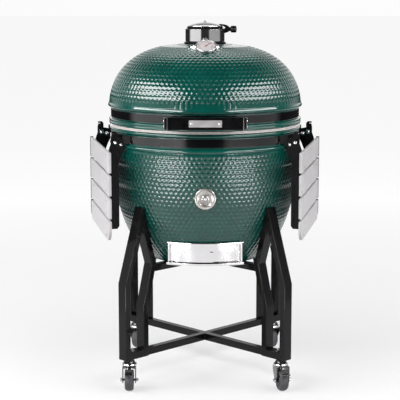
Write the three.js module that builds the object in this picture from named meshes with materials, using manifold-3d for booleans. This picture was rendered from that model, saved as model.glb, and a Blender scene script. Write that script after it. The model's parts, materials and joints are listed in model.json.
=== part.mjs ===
// Kamado ceramic grill on a castored stand. Millimetres, +Z up, the front faces -Y.
// The origin is on the floor, under the middle of the grill.
import * as THREE from 'three';
import { mergeVertices } from 'three/addons/utils/BufferGeometryUtils.js';
import Module from 'manifold-3d';

const wasm = await Module();
wasm.setup();

// Driving dimensions.
const GAP = 0.3; // clearance between pieces that touch
const TURNED_SIDES = 40; // facets round every large turned piece
const SEAM = 889.6; // height of the split between base and lid
const BASE_BOTTOM = 421;
const BASE_RIM = 885; // top face of the base rim
const LID_BOTTOM = 894.2; // lower face of the lid rim
const LID_TOP = 1167;
const RIM_RADIUS = 335.5; // outside of both ceramic rims
const BAND_SEAT = 326.5; // ceramic radius under the bands
const BAND_THICK = 2.6;
const BAND_HEIGHT = 28;
const BASE_BAND_LOW = 840;
const LID_BAND_LOW = 918;
const WALL = 32; // ceramic wall, measured level
const CHIMNEY_BORE = 52;
const GASKET_INNER = 305;
const GASKET_OUTER = 333;

const LID_HINGE_Y = 384; // pin of the rear lid hinge
const LID_HINGE_Z = 893;

const DRAFT_LOW = 435; // ash door frame
const DRAFT_HIGH = 511;
const DRAFT_RADIUS = 264; // inside face of the curved back plate
const DRAFT_HALF_ANGLE = 27.5;

const LEG_WIDTH = 38;
const LEG_FOOT_LOW = 107;
const LEG_FOOT_HIGH = 134;
const CASTER_RADIUS = 366; // distance of each caster from the middle
const WHEEL_RADIUS = 38;
const WHEEL_WIDTH = 30;

const SHELF_HINGE_FRONT = new THREE.Vector2(306, -200); // right side, the left is its mirror
const SHELF_HINGE_REAR = new THREE.Vector2(377, 144);
const SHELF_HINGE_Z = 845;
const SLAT_COUNT = 4;
const SLAT_LENGTH = 490;
const SLAT_WIDTH = 72;
const SLAT_PITCH = 78;
const SLAT_THICK = 10;

// Finishes.
const finish = (color, roughness, metalness) =>
  new THREE.MeshStandardMaterial({ color, roughness, metalness });
const greenGlaze = finish(0x0d6854, 0.2, 0);
const satinBlack = finish(0x1c1b1e, 0.35, 0.5);
const glossBlack = finish(0x111012, 0.2, 0.4);
const stainless = finish(0xd4d2d4, 0.2, 1);
const slatGrey = finish(0xd8d6d9, 0.45, 0);
const felt = finish(0xcdc3be, 0.95, 0);
const fireClay = finish(0xc8b496, 0.9, 0);
const castIron = finish(0x2a2a2b, 0.7, 0.6);
const rubber = finish(0x3c3d40, 0.7, 0);
const dialWhite = finish(0xf4f2f0, 0.4, 0);
const signalRed = finish(0xc23b3b, 0.5, 0);

// Solid helpers. Shapes are plain three.js geometries; joins and cuts go through manifold.
function signedVolume(positions, triangles) {
  let volume = 0;
  const [a, b, c] = [new THREE.Vector3(), new THREE.Vector3(), new THREE.Vector3()];
  for (let i = 0; i < triangles.length; i += 3) {
    a.fromArray(positions, triangles[i] * 3);
    b.fromArray(positions, triangles[i + 1] * 3);
    c.fromArray(positions, triangles[i + 2] * 3);
    volume += a.dot(b.cross(c));
  }
  return volume;
}

function solidOf(geometry) {
  const bare = geometry.clone();
  bare.deleteAttribute('normal');
  bare.deleteAttribute('uv');
  const merged = mergeVertices(bare, 1e-4);
  const positions = Float32Array.from(merged.attributes.position.array);
  const index = merged.index.array;
  const triangles = [];
  for (let i = 0; i < index.length; i += 3) {
    const [a, b, c] = [index[i], index[i + 1], index[i + 2]];
    if (a !== b && b !== c && c !== a) triangles.push(a, b, c);
  }
  if (signedVolume(positions, triangles) < 0) triangles.reverse();
  const mesh = new wasm.Mesh({
    numProp: 3,
    vertProperties: positions,
    triVerts: Uint32Array.from(triangles),
  });
  return new wasm.Manifold(mesh);
}

function geometryOf(solid) {
  const mesh = solid.getMesh();
  const geometry = new THREE.BufferGeometry();
  geometry.setAttribute('position', new THREE.BufferAttribute(mesh.vertProperties, 3));
  geometry.setIndex(new THREE.BufferAttribute(mesh.triVerts, 1));
  geometry.computeVertexNormals();
  return geometry;
}

const join = (...parts) => geometryOf(parts.map(solidOf).reduce((a, b) => a.add(b)));
const cut = (body, ...tools) =>
  geometryOf(tools.map(solidOf).reduce((a, b) => a.subtract(b), solidOf(body)));

function block(x0, x1, y0, y1, z0, z1) {
  const geometry = new THREE.BoxGeometry(x1 - x0, y1 - y0, z1 - z0);
  return geometry.translate((x0 + x1) / 2, (y0 + y1) / 2, (z0 + z1) / 2);
}

function rod(from, to, radius, sides = 24) {
  const start = new THREE.Vector3(...from);
  const along = new THREE.Vector3(...to).sub(start);
  const geometry = new THREE.CylinderGeometry(radius, radius, along.length(), sides);
  const turn = new THREE.Quaternion();
  turn.setFromUnitVectors(new THREE.Vector3(0, 1, 0), along.clone().normalize());
  geometry.applyQuaternion(turn);
  return geometry.translate(...start.addScaledVector(along, 0.5).toArray());
}

// A profile of [radius, height] pairs turned about +Z. It starts and ends on the axis, or is closed.
function turned(profile, sides = TURNED_SIDES) {
  const onAxis = profile[0][0] === 0;
  const outline = onAxis ? profile : [...profile, profile[0]];
  const points = outline.map(([r, z]) => new THREE.Vector2(r, z));
  return new THREE.LatheGeometry(points, sides).rotateX(Math.PI / 2);
}

const ring = (inner, outer, low, high, sides) =>
  turned([[inner, low], [outer, low], [outer, high], [inner, high]], sides);

function outlineOf(points) {
  return points.map(([x, y]) => new THREE.Vector2(x, y));
}

// A flat outline in X and Y with a thickness along +Z, with optional holes.
function plate(points, thickness, holes = []) {
  const shape = new THREE.Shape(outlineOf(points));
  holes.forEach((hole) => shape.holes.push(new THREE.Path(outlineOf(hole))));
  return new THREE.ExtrudeGeometry(shape, { depth: thickness, bevelEnabled: false });
}

// A wedge of plan angle around the axis, from the axis out, centred on the front.
function frontSector(fromDegrees, toDegrees, radius, low, high) {
  const points = [[0, 0]];
  const steps = Math.max(2, Math.ceil((toDegrees - fromDegrees) / 4));
  for (let i = 0; i <= steps; i++) {
    const angle = THREE.MathUtils.degToRad(fromDegrees + ((toDegrees - fromDegrees) * i) / steps);
    points.push([radius * Math.sin(angle), -radius * Math.cos(angle)]);
  }
  return plate(points, high - low).translate(0, 0, low);
}

// A curved sheet round the axis at the front, between two radii, two angles and two heights.
function curvedSheet(inner, outer, fromDegrees, toDegrees, low, high) {
  const points = [];
  const steps = Math.max(2, Math.ceil((toDegrees - fromDegrees) / 5));
  const at = (radius, i) => {
    const angle = THREE.MathUtils.degToRad(fromDegrees + ((toDegrees - fromDegrees) * i) / steps);
    return [radius * Math.sin(angle), -radius * Math.cos(angle)];
  };
  for (let i = 0; i <= steps; i++) points.push(at(outer, i));
  for (let i = steps; i >= 0; i--) points.push(at(inner, i));
  return plate(points, high - low).translate(0, 0, low);
}

const mirrored = (geometry) => geometry.clone().scale(-1, 1, 1);

const grill = new THREE.Group();
function piece(name, geometry, material, parent = grill) {
  const mesh = new THREE.Mesh(geometryOf(solidOf(geometry)), material);
  mesh.name = name;
  parent.add(mesh);
  return mesh;
}

function group(parent, x, y, z, turn = 0) {
  const holder = new THREE.Group();
  holder.position.set(x, y, z);
  holder.rotation.z = turn;
  parent.add(holder);
  return holder;
}

const spread = (from, to, count) =>
  Array.from({ length: count }, (_, i) => from + ((to - from) * i) / (count - 1));

// Ceramic outlines: superellipses, radius as a function of height.
const swell = (z, centre, halfWidth, halfHeight, power) =>
  halfWidth * (1 - (Math.abs(z - centre) / halfHeight) ** power) ** (1 / power);
const bowlRadius = (z) => swell(z, 993, 333, 612, 3.1);
const domeRadius = (z) => swell(z, 890, 340, 280, 2.75);
const domeInside = (z) => swell(z, 890, 308, 252, 2.75);

const thermometerCentre = new THREE.Vector3(3, -172, 1163);
const thermometerUp = new THREE.Vector3(0, -0.5, Math.cos(Math.PI / 6));
const alongThermometer = (distance) =>
  thermometerCentre.clone().addScaledVector(thermometerUp, distance).toArray();
const PORT_Z = 670;
const PORT_SEAT = 318.5;

function baseShell() {
  const outer = spread(BASE_BOTTOM, 830, 11).map((z) => [bowlRadius(z), z]);
  const rim = [[BAND_SEAT, 836], [BAND_SEAT, 871], [RIM_RADIUS, 875], [RIM_RADIUS, 881], [332, BASE_RIM]];
  const inner = spread(BASE_RIM, 455, 9).map((z) => [bowlRadius(z) - WALL, z]);
  const shell = turned([[0, BASE_BOTTOM], ...outer, ...rim, ...inner, [0, 455]]);
  const reach = DRAFT_HALF_ANGLE + 1;
  const pocket = cut(
    frontSector(-reach, reach, 300, DRAFT_LOW - 1, DRAFT_HIGH + 1),
    turned([[0, 420], [DRAFT_RADIUS - 1, 420], [DRAFT_RADIUS - 1, 520], [0, 520]]),
  );
  const window = frontSector(-22, 22, 300, 460, 500);
  const portSeat = rod([0, -340, PORT_Z], [0, -PORT_SEAT, PORT_Z], 36.5);
  const portBore = rod([0, -340, PORT_Z], [0, -250, PORT_Z], 27);
  return cut(shell, pocket, window, portSeat, portBore);
}

function lidShell() {
  const flange = [[332, LID_BOTTOM], [RIM_RADIUS, 896.5], [RIM_RADIUS, 901.5], [333, 904]];
  const bead = [[RIM_RADIUS, 906.5], [RIM_RADIUS, 911.5], [333, 914], [BAND_SEAT, 915.5]];
  const above = [[BAND_SEAT, 949], [336, 952.5]];
  const dome = spread(962, 1158, 10).map((z) => [domeRadius(z), z]);
  const neck = [[92, 1166.5], [76, LID_TOP], [CHIMNEY_BORE, LID_TOP], [CHIMNEY_BORE, 1140]];
  const inner = spread(1138, LID_BOTTOM + 1, 9).map((z) => [domeInside(z), z]);
  const shell = turned([...flange, ...bead, ...above, ...dome, ...neck, ...inner, [304, LID_BOTTOM]]);
  const seat = rod(alongThermometer(-7.3), alongThermometer(60), 37);
  const hole = rod(alongThermometer(-90), alongThermometer(0), 5.5, 12);
  return cut(shell, seat, hole);
}

function firebox() {
  const body = turned([
    [176, 456], [197, 456], [208, 520], [262, 700], [240, 700], [184, 524], [150, 524], [150, 512], [176, 512],
  ]);
  const ashDoor = block(-80, 80, -260, -120, 440, 500);
  return cut(body, ashDoor);
}

function charcoalGrate() {
  const disc = turned([[0, 524.3], [180, 524.3], [180, 533], [0, 533]]);
  const slots = spread(-120, 120, 7).map((x) => {
    const half = Math.sqrt(160 ** 2 - x ** 2);
    return block(x - 7, x + 7, -half, half, 520, 540);
  });
  return cut(disc, ...slots);
}

function cookingGrid() {
  const low = 801;
  const bars = spread(-240, 240, 13).map((x) => {
    const half = Math.sqrt(260 ** 2 - x ** 2);
    return block(x - 3, x + 3, -half, half, low + 1, low + 7);
  });
  const hoop = ring(256, 264, low, low + 8);
  const crossBar = block(-258, 258, -3, 3, low + 2, low + 6);
  return join(hoop, crossBar, ...bars);
}

function bandRing(low) {
  return ring(BAND_SEAT + GAP, BAND_SEAT + GAP + BAND_THICK, low, low + BAND_HEIGHT);
}

// Ash door: a curved back plate with two rails and end plates, a screen and a sliding cover.
function draftFrame() {
  const a = DRAFT_HALF_ANGLE;
  const back = curvedSheet(DRAFT_RADIUS, DRAFT_RADIUS + 2, -a, a, DRAFT_LOW, DRAFT_HIGH);
  const window = frontSector(-20, 0, 300, 448, 498);
  const railTop = curvedSheet(DRAFT_RADIUS, 279, -a, a, DRAFT_HIGH - 3, DRAFT_HIGH);
  const railLow = curvedSheet(236, 284, -a, a, DRAFT_LOW, DRAFT_LOW + 3);
  const lipLow = curvedSheet(281, 284, -a, a, DRAFT_LOW, DRAFT_LOW + 8);
  const endLeft = curvedSheet(DRAFT_RADIUS, 273, -a, -a + 1.2, DRAFT_LOW, DRAFT_HIGH);
  const endRight = curvedSheet(DRAFT_RADIUS, 273, a - 1.2, a, DRAFT_LOW, DRAFT_HIGH);
  return join(cut(back, window), railTop, railLow, lipLow, endLeft, endRight);
}

function ashScreen() {
  const sheet = curvedSheet(DRAFT_RADIUS + 2.4, DRAFT_RADIUS + 3.6, -23, 1, 439, 507);
  const holes = [];
  for (const degrees of spread(-19, -3, 5)) {
    for (const z of spread(455, 491, 4)) {
      const angle = THREE.MathUtils.degToRad(degrees);
      const along = (radius) => [radius * Math.sin(angle), -radius * Math.cos(angle), z];
      holes.push(rod(along(255), along(280), 3, 6));
    }
  }
  return cut(sheet, ...holes);
}

function draftDoor() {
  const sheet = curvedSheet(DRAFT_RADIUS + 5.6, DRAFT_RADIUS + 7.4, -19, 6, 439, 507);
  const pull = curvedSheet(DRAFT_RADIUS + 6.5, DRAFT_RADIUS + 14, 3.5, 5.5, 466, 480);
  return join(sheet, pull);
}

function portPlug() {
  const seat = -PORT_SEAT - GAP;
  const stem = rod([0, seat, PORT_Z], [0, seat + 22, PORT_Z], 26);
  const flange = rod([0, seat - 6, PORT_Z], [0, seat, PORT_Z], 35);
  const hub = rod([0, seat - 12, PORT_Z], [0, seat - 5, PORT_Z], 23);
  const bolt = rod([0, seat - 18, PORT_Z], [0, seat - 11, PORT_Z], 9, 6);
  return join(stem, flange, hub, bolt);
}

// Lid fittings.
function handleBar() {
  return block(-122, 122, -396, -380, 906, 947);
}

function handleBracket() {
  const x0 = 122.3;
  const front = block(x0, x0 + 12, -397, -379, 906, 947);
  const arm = block(x0 + 4, x0 + 10, -380, -303, 922, 942);
  const ringSpace = turned([[0, 900], [BAND_SEAT + BAND_THICK + 2 * GAP, 900],
    [BAND_SEAT + BAND_THICK + 2 * GAP, 960], [0, 960]]);
  return cut(join(front, arm), ringSpace);
}

const handlePlate = () => block(-53, 53, -398, -396.3, 915.5, 938.5);

function ventBase() {
  const wall = turned([
    [46, 1150], [51.5, 1150], [51.5, LID_TOP + GAP], [72.5, LID_TOP + GAP], [72.5, 1172.5], [68, 1173.5],
    [68, 1219], [62, 1219], [62, 1226], [57, 1226], [57, 1180], [46, 1172],
  ], 32);
  const ears = join(block(60, 86, -17, -13, 1200, 1222), block(60, 86, 13, 17, 1200, 1222));
  const pin = rod([80, -17, 1217], [80, 17, 1217], 4, 12);
  return join(wall, ears, pin);
}

function ventCap() {
  const dome = turned([
    [0, 1227], [60, 1227], [60, 1229], [44, 1235], [24, 1240], [6, 1242], [0, 1247],
  ], 32);
  const strap = block(50, 86, -7, 7, 1225.5, 1229);
  const eye = rod([80, -8, 1217], [80, 8, 1217], 11, 16);
  const grip = rod([88, 0, 1217], [110, 0, 1217], 12, 16);
  const bore = rod([80, -9, 1217], [80, 9, 1217], 4.4, 12);
  return cut(join(dome, strap, eye, grip), bore, block(40, 67, -40, 40, 1215, 1226.6));
}

function thermometerCase() {
  const body = rod(alongThermometer(-7), alongThermometer(7), 36, 32);
  const well = rod(alongThermometer(3), alongThermometer(8), 32, 32);
  const probe = rod(alongThermometer(-75), alongThermometer(-6), 4, 12);
  return join(cut(body, well), probe);
}

const thermometerDial = () => rod(alongThermometer(3.3), alongThermometer(4.8), 31.6, 24);

function thermometerNeedle() {
  const right = new THREE.Vector3(1, 0, 0);
  const up = thermometerUp.clone().cross(right);
  const arrow = plate([[-2.5, -6], [2.5, -6], [1.2, 23], [-1.2, 23]], 1);
  const lean = new THREE.Matrix4().makeBasis(right, up, thermometerUp);
  return arrow.rotateZ(-0.7).applyMatrix4(lean).translate(...alongThermometer(5.4));
}

// Rear lid hinge: a lower bracket with the pin, an upper bracket, and two springs round the pin.
const hingeAt = (dy, dz) => [LID_HINGE_Y + dy, LID_HINGE_Z + dz];
function hingePlate(points, fromX, toX) {
  const flat = plate(points, toX - fromX);
  const upright = new THREE.Matrix4().makeBasis(
    new THREE.Vector3(0, 1, 0), new THREE.Vector3(0, 0, 1), new THREE.Vector3(1, 0, 0),
  );
  return flat.applyMatrix4(upright).translate(fromX, 0, 0);
}

function hingeBasePiece() {
  const saddle = cut(block(-80, 80, 300, 352, 838, 870),
    turned([[0, 820], [BAND_SEAT + BAND_THICK + 2 * GAP, 820], [BAND_SEAT + BAND_THICK + 2 * GAP, 880], [0, 880]]));
  const cheek = [[346, 838], [352, 838], hingeAt(-4, -14), hingeAt(12, -6), hingeAt(12, 10), hingeAt(-10, 10),
    hingeAt(-12, -4), [346, 870]];
  const cheeks = [-80, 74].map((x) => hingePlate(cheek, x, x + 6));
  const pin = rod([-84, LID_HINGE_Y, LID_HINGE_Z], [84, LID_HINGE_Y, LID_HINGE_Z], 6);
  return join(saddle, ...cheeks, pin);
}

function hingeLidPiece() {
  const saddle = cut(block(-66, 66, 300, 352, 916, 948),
    turned([[0, 900], [BAND_SEAT + BAND_THICK + 2 * GAP, 900], [BAND_SEAT + BAND_THICK + 2 * GAP, 960], [0, 960]]));
  const cheek = [[340, 948], [352, 948], hingeAt(4, 14), hingeAt(14, 6), hingeAt(14, -8), hingeAt(-6, -10),
    hingeAt(-12, 6), [340, 916]];
  const cheeks = [-66, 60].map((x) => hingePlate(cheek, x, x + 6));
  const bore = rod([-90, LID_HINGE_Y, LID_HINGE_Z], [90, LID_HINGE_Y, LID_HINGE_Z], 6.5);
  return cut(join(saddle, ...cheeks), bore);
}

function hingeSpring(x0, x1) {
  return cut(
    rod([x0, LID_HINGE_Y, LID_HINGE_Z], [x1, LID_HINGE_Y, LID_HINGE_Z], 12),
    rod([x0 - 1, LID_HINGE_Y, LID_HINGE_Z], [x1 + 1, LID_HINGE_Y, LID_HINGE_Z], 6.6),
  );
}

// Stand: each leg is a welded frame drawn in a radial plane, then turned to its corner.
function legFrame() {
  const outline = [
    [397, LEG_FOOT_LOW], [397, 371], [317, 627], [313, 627], [255, 428], [292.5, 283], [292.5, LEG_FOOT_LOW],
  ];
  const window = [[314.5, LEG_FOOT_HIGH], [375, LEG_FOOT_HIGH], [375, 368], [315.5, 556], [277.5, 428], [314.5, 285]];
  const flat = plate(outline, LEG_WIDTH, [window]).translate(0, 0, -LEG_WIDTH / 2);
  return flat.rotateX(Math.PI / 2);
}

function crossOf(halfLength, lowHalfLength, halfWidth, low, high) {
  const side = [[-lowHalfLength, low], [lowHalfLength, low], [halfLength, high], [-halfLength, high]];
  const bar = plate(side, 2 * halfWidth).translate(0, 0, -halfWidth).rotateX(Math.PI / 2);
  return join(bar.clone().rotateZ(Math.PI / 4), bar.clone().rotateZ(-Math.PI / 4));
}

// Shelf pieces in the hinge's own frame: +X outward, +Y to the rear, origin on the hinge line.
const SLAT_INNER = 20;
const SLAT_TOP = -27;
function shelfSlat(index) {
  const top = SLAT_TOP - index * SLAT_PITCH;
  const low = top - SLAT_WIDTH;
  const [y0, y1] = [-63, SLAT_LENGTH - 63];
  const corner = index === SLAT_COUNT - 1 ? 46 : 0;
  const arc = corner ? spread(0, Math.PI / 2, 7) : [];
  const outline = corner
    ? [[y0, top], ...arc.map((t) => [y0 + corner * (1 - Math.cos(t)), low + corner * (1 - Math.sin(t))]),
      ...arc.toReversed().map((t) => [y1 - corner * (1 - Math.cos(t)), low + corner * (1 - Math.sin(t))]), [y1, top]]
    : [[y0, low], [y1, low], [y1, top], [y0, top]];
  return hingePlate(outline, SLAT_INNER, SLAT_INNER + SLAT_THICK);
}

function shelfArm(y) {
  const web = [[-13, -20], [-9, 9], [9, 9], [SLAT_INNER - GAP, -20], [SLAT_INNER - GAP, -296], [-6, -296],
    [-13, -286]];
  const slots = [-60, -145, -230].map((z) => block(-4, 5, y - 9, y + 1, z - 50, z));
  const stand = new THREE.Matrix4().makeBasis(
    new THREE.Vector3(1, 0, 0), new THREE.Vector3(0, 0, 1), new THREE.Vector3(0, -1, 0),
  );
  const sheet = plate(web, 4).applyMatrix4(stand).translate(0, y, 0);
  const flange = block(SLAT_INNER - 4, SLAT_INNER - GAP, y - 4, y + 14, -296, -24);
  const bore = rod([0, y - 9, 0], [0, y + 9, 0], 5, 12);
  return cut(join(sheet, flange), bore, ...slots);
}

function shelfCasting(y) {
  const body = [[-14, -70], [-4, -76], [8, -66], [12, -40], [12, 16], [10, 24], [10, 28], [2, 28], [2, 31], [10, 31],
    [10, 36], [-4, 36], [-9, 30], [-9, 14], [-30, 10], [-34, 2], [-34, -26], [-26, -40]];
  const stand = new THREE.Matrix4().makeBasis(
    new THREE.Vector3(1, 0, 0), new THREE.Vector3(0, 0, 1), new THREE.Vector3(0, -1, 0),
  );
  const casting = plate(body, 10).applyMatrix4(stand).translate(0, y + 5, 0);
  const pin = rod([0, y - 13, 0], [0, y + 4, 0], 4.5, 12);
  return join(casting, pin);
}

// Plate from the base band to a casting, in the hinge frame.
function castingArm(points) {
  return plate(points, BAND_HEIGHT).translate(0, 0, BASE_BAND_LOW - SHELF_HINGE_Z);
}

const shelfAngle = Math.atan2(
  SHELF_HINGE_REAR.y - SHELF_HINGE_FRONT.y, SHELF_HINGE_REAR.x - SHELF_HINGE_FRONT.x,
) - Math.PI / 2;
const hingeSpan = SHELF_HINGE_REAR.distanceTo(SHELF_HINGE_FRONT);

function addShelf(side) {
  const left = side === 'left';
  const place = (geometry) => {
    geometry.rotateZ(shelfAngle);
    geometry.translate(SHELF_HINGE_FRONT.x, SHELF_HINGE_FRONT.y, SHELF_HINGE_Z);
    return left ? mirrored(geometry) : geometry;
  };
  const bandSpace = ring(200, BAND_SEAT + BAND_THICK + 2 * GAP, 800, 900);
  for (const [end, y] of [['front', 0], ['rear', hingeSpan]]) {
    const reach = end === 'front' ? [[-34, 5], [-34, -5], [-70, -34], [-86, -50], [-90, -44], [-62, 2]]
      : [[-34, -5], [-34, 5], [-84, 12], [-84, -6]];
    const link = castingArm(reach.map(([x, dy]) => [x + 6, y + dy]));
    const bracket = place(join(shelfCasting(y), link));
    piece(`shelf_bracket_${side}_${end}`, cut(bracket, left ? mirrored(bandSpace) : bandSpace), satinBlack);
    piece(`shelf_arm_${side}_${end}`, place(shelfArm(y - 7)), satinBlack);
  }
  for (let i = 0; i < SLAT_COUNT; i++) {
    piece(`shelf_slat_${side}_${i + 1}`, place(shelfSlat(i)), slatGrey);
  }
}

// Casters: fork and wheel in the caster's own frame, trail towards -Y at rest.
const FORK_HALF = 23;
const TRAIL = 16;
function casterFork() {
  const stem = turned([[0, 101], [8, 101], [8, LEG_FOOT_LOW - GAP], [0, LEG_FOOT_LOW - GAP]], 16);
  const head = turned([[0, 84], [24, 84], [24, 90], [18, 101], [0, 101]], 24);
  const crown = block(-FORK_HALF, FORK_HALF, -TRAIL - 12, 18, 80, 85);
  const cheek = [[18, 85], [18, 72], [-TRAIL + 9, 28], [-TRAIL - 9, 28], [-TRAIL - 12, 72], [-TRAIL - 12, 85]];
  const cheeks = [-FORK_HALF, FORK_HALF - 3].map((x) => hingePlate(cheek, x, x + 3));
  const axle = rod([-FORK_HALF - 5, -TRAIL, WHEEL_RADIUS], [FORK_HALF + 5, -TRAIL, WHEEL_RADIUS], 4, 12);
  return join(stem, head, crown, ...cheeks, axle);
}

function casterWheel() {
  const half = WHEEL_WIDTH / 2;
  const tread = turned([
    [4.5, -half], [30, -half], [36, -half + 5], [WHEEL_RADIUS, -half + 11], [WHEEL_RADIUS, half - 11],
    [36, half - 5], [30, half], [4.5, half],
  ], 24);
  return tread.rotateY(Math.PI / 2).translate(0, -TRAIL, WHEEL_RADIUS);
}

function brakePedal() {
  const tread = block(-13, 13, -TRAIL - 54, -TRAIL - 32, 66, 70);
  const neck = block(-13, 13, -TRAIL - 35, -TRAIL - 32, 66, 84);
  const root = block(-13, 13, -TRAIL - 34, -TRAIL - 12 - GAP, 80, 84);
  return join(tread, neck, root);
}

// Assembly, from the floor up.
const corners = [['front_left', 225, 0], ['front_right', 315, 14], ['rear_right', 45, -150], ['rear_left', 135, 160]];
const leg = legFrame();
for (const [name, degrees, swivel] of corners) {
  const turn = THREE.MathUtils.degToRad(degrees);
  piece(`leg_${name}`, leg, glossBlack, group(grill, 0, 0, 0, turn));
  const [x, y] = [CASTER_RADIUS * Math.cos(turn), CASTER_RADIUS * Math.sin(turn)];
  const caster = group(grill, x, y, 0, THREE.MathUtils.degToRad(swivel));
  piece(`caster_fork_${name}`, casterFork(), glossBlack, caster);
  piece(`caster_wheel_${name}`, casterWheel(), rubber, caster);
  if (name.startsWith('front')) piece(`caster_brake_${name}`, brakePedal(), satinBlack, caster);
}
piece('lower_cross_brace', crossOf(292.2, 292.2, 12.5, LEG_FOOT_LOW, 132), glossBlack);
piece('upper_cross_brace', crossOf(256.7, 262.2, 15, 398, BASE_BOTTOM - GAP), glossBlack);

piece('base_shell', baseShell(), greenGlaze);
piece('firebox', firebox(), fireClay);
piece('fire_ring', turned([[262, 700.3], [276, 800], [252, 800], [240, 700.3]]), fireClay);
piece('charcoal_grate', charcoalGrate(), castIron);
piece('cooking_grid', cookingGrid(), stainless);
piece('base_gasket', ring(GASKET_INNER, GASKET_OUTER, BASE_RIM + GAP, SEAM - GAP / 2), felt);
piece('base_band', bandRing(BASE_BAND_LOW), satinBlack);
piece('draft_frame', draftFrame(), stainless);
piece('ash_screen', ashScreen(), stainless);
piece('draft_door', draftDoor(), stainless);
piece('port_plug', portPlug(), stainless);
piece('lid_hinge_base', hingeBasePiece(), satinBlack);
piece('lid_hinge_spring_left', hingeSpring(-56, -2), stainless);
piece('lid_hinge_spring_right', hingeSpring(2, 56), stainless);

piece('lid_shell', lidShell(), greenGlaze);
piece('lid_gasket', ring(GASKET_INNER, GASKET_OUTER, SEAM + GAP / 2, LID_BOTTOM - GAP), felt);
piece('lid_band', bandRing(LID_BAND_LOW), satinBlack);
piece('lid_hinge_upper', hingeLidPiece(), satinBlack);
piece('handle_bar', handleBar(), glossBlack);
piece('handle_bracket_right', handleBracket(), stainless);
piece('handle_bracket_left', mirrored(handleBracket()), stainless);
piece('handle_plate', handlePlate(), slatGrey);
piece('vent_base', ventBase(), stainless);
piece('vent_cap', ventCap(), stainless);
piece('thermometer_case', thermometerCase(), stainless);
piece('thermometer_dial', thermometerDial(), dialWhite);
piece('thermometer_needle', thermometerNeedle(), signalRed);

addShelf('right');
addShelf('left');

export default grill;
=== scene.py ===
# %% [markdown]
# # Kamado ceramic grill
#
# A kamado is a thick ceramic egg that holds charcoal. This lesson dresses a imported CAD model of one:
# the CAD gives every size, body and hinge, and each piece below is rebuilt finely enough to be looked
# at closely. Lengths are metres, +Z is up and the front faces -Y.

import json
import math

import bmesh
import bpy
from mathutils import Matrix, Vector, kdtree


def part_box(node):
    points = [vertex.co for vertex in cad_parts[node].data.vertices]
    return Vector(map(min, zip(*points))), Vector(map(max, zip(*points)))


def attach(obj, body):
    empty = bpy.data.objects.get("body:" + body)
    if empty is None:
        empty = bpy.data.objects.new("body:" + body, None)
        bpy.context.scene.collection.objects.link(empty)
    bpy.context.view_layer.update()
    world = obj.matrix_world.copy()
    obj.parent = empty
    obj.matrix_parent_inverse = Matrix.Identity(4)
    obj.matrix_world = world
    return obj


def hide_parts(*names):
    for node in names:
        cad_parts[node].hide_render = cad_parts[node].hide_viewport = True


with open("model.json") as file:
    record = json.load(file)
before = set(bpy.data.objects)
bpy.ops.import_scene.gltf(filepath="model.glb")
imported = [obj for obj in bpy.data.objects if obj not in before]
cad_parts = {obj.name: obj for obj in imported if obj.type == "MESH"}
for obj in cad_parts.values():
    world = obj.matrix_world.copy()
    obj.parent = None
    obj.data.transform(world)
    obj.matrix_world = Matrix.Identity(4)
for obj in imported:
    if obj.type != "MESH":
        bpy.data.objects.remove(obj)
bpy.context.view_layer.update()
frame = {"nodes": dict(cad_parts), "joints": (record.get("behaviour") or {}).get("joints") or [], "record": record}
NODES = frame["nodes"]
JOINTS = {joint["name"]: joint for joint in frame["joints"]}
BODY_OF = {n: body for body, nodes in frame["record"]["behaviour"]["bodies"].items() for n in nodes}
SLOT_OF = {part["node"]: part["material_slot"] for part in frame["record"]["subparts"]}
MM = 0.001
UP = Vector((0, 0, 1))

# %% [markdown]
# ## Mesh helpers
#
# Cast, turned and pressed parts never have knife edges, so outlines are rounded before they are
# turned, and plates get a small bevel. Each helper returns an object whose place is in its mesh.


# %% Mesh helpers
def new_object(name, mesh):
    obj = bpy.data.objects.new(name, mesh)
    bpy.context.scene.collection.objects.link(obj)
    return obj


def smooth(obj, degrees=38):
    """Smooth shading, with edges sharper than the angle kept crisp."""
    obj.data.shade_smooth()
    obj.data.set_sharp_from_angle(angle=math.radians(degrees))
    return obj


def from_faces(name, verts, faces):
    """An object from corner points and faces, with its normals turned outward."""
    mesh = bpy.data.meshes.new(name)
    mesh.from_pydata(verts, [], faces)
    shape = bmesh.new()
    shape.from_mesh(mesh)
    bmesh.ops.recalc_face_normals(shape, faces=shape.faces)
    shape.to_mesh(mesh)
    shape.free()
    return smooth(new_object(name, mesh))


def rounded(points, radius, steps=3):
    """A closed outline whose corners are small arcs. Points on the axis stay as they are."""
    result = []
    for i, point in enumerate(points):
        corner = Vector(point)
        before = Vector(points[i - 1]) - corner
        after = Vector(points[(i + 1) % len(points)]) - corner
        if corner.x < 1e-6:
            result.append(tuple(corner))
            continue
        reach = min(radius, 0.45 * before.length, 0.45 * after.length)
        start = corner + before.normalized() * reach
        end = corner + after.normalized() * reach
        for k in range(steps + 1):
            t = k / steps
            result.append(tuple((1 - t) ** 2 * start + 2 * t * (1 - t) * corner + t**2 * end))
    return result


def turned(name, outline, sides=96):
    """A closed (radius, height) outline turned about +Z. Points on the axis become poles."""
    verts, rings = [], []
    for radius, height in outline:
        count = 1 if radius < 1e-6 else sides
        rings.append([len(verts) + k for k in range(count)])
        for k in range(count):
            turn = 2 * math.pi * k / sides
            verts.append((radius * math.sin(turn), -radius * math.cos(turn), height))
    faces = []
    for low, high in zip(rings, rings[1:] + rings[:1]):
        if len(low) == 1 and len(high) == 1:
            continue
        for k in range(sides):
            n = (k + 1) % sides
            corners = [low[k % len(low)], low[n % len(low)], high[n % len(high)], high[k % len(high)]]
            faces.append(list(dict.fromkeys(corners)))
    return from_faces(name, verts, faces)


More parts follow.
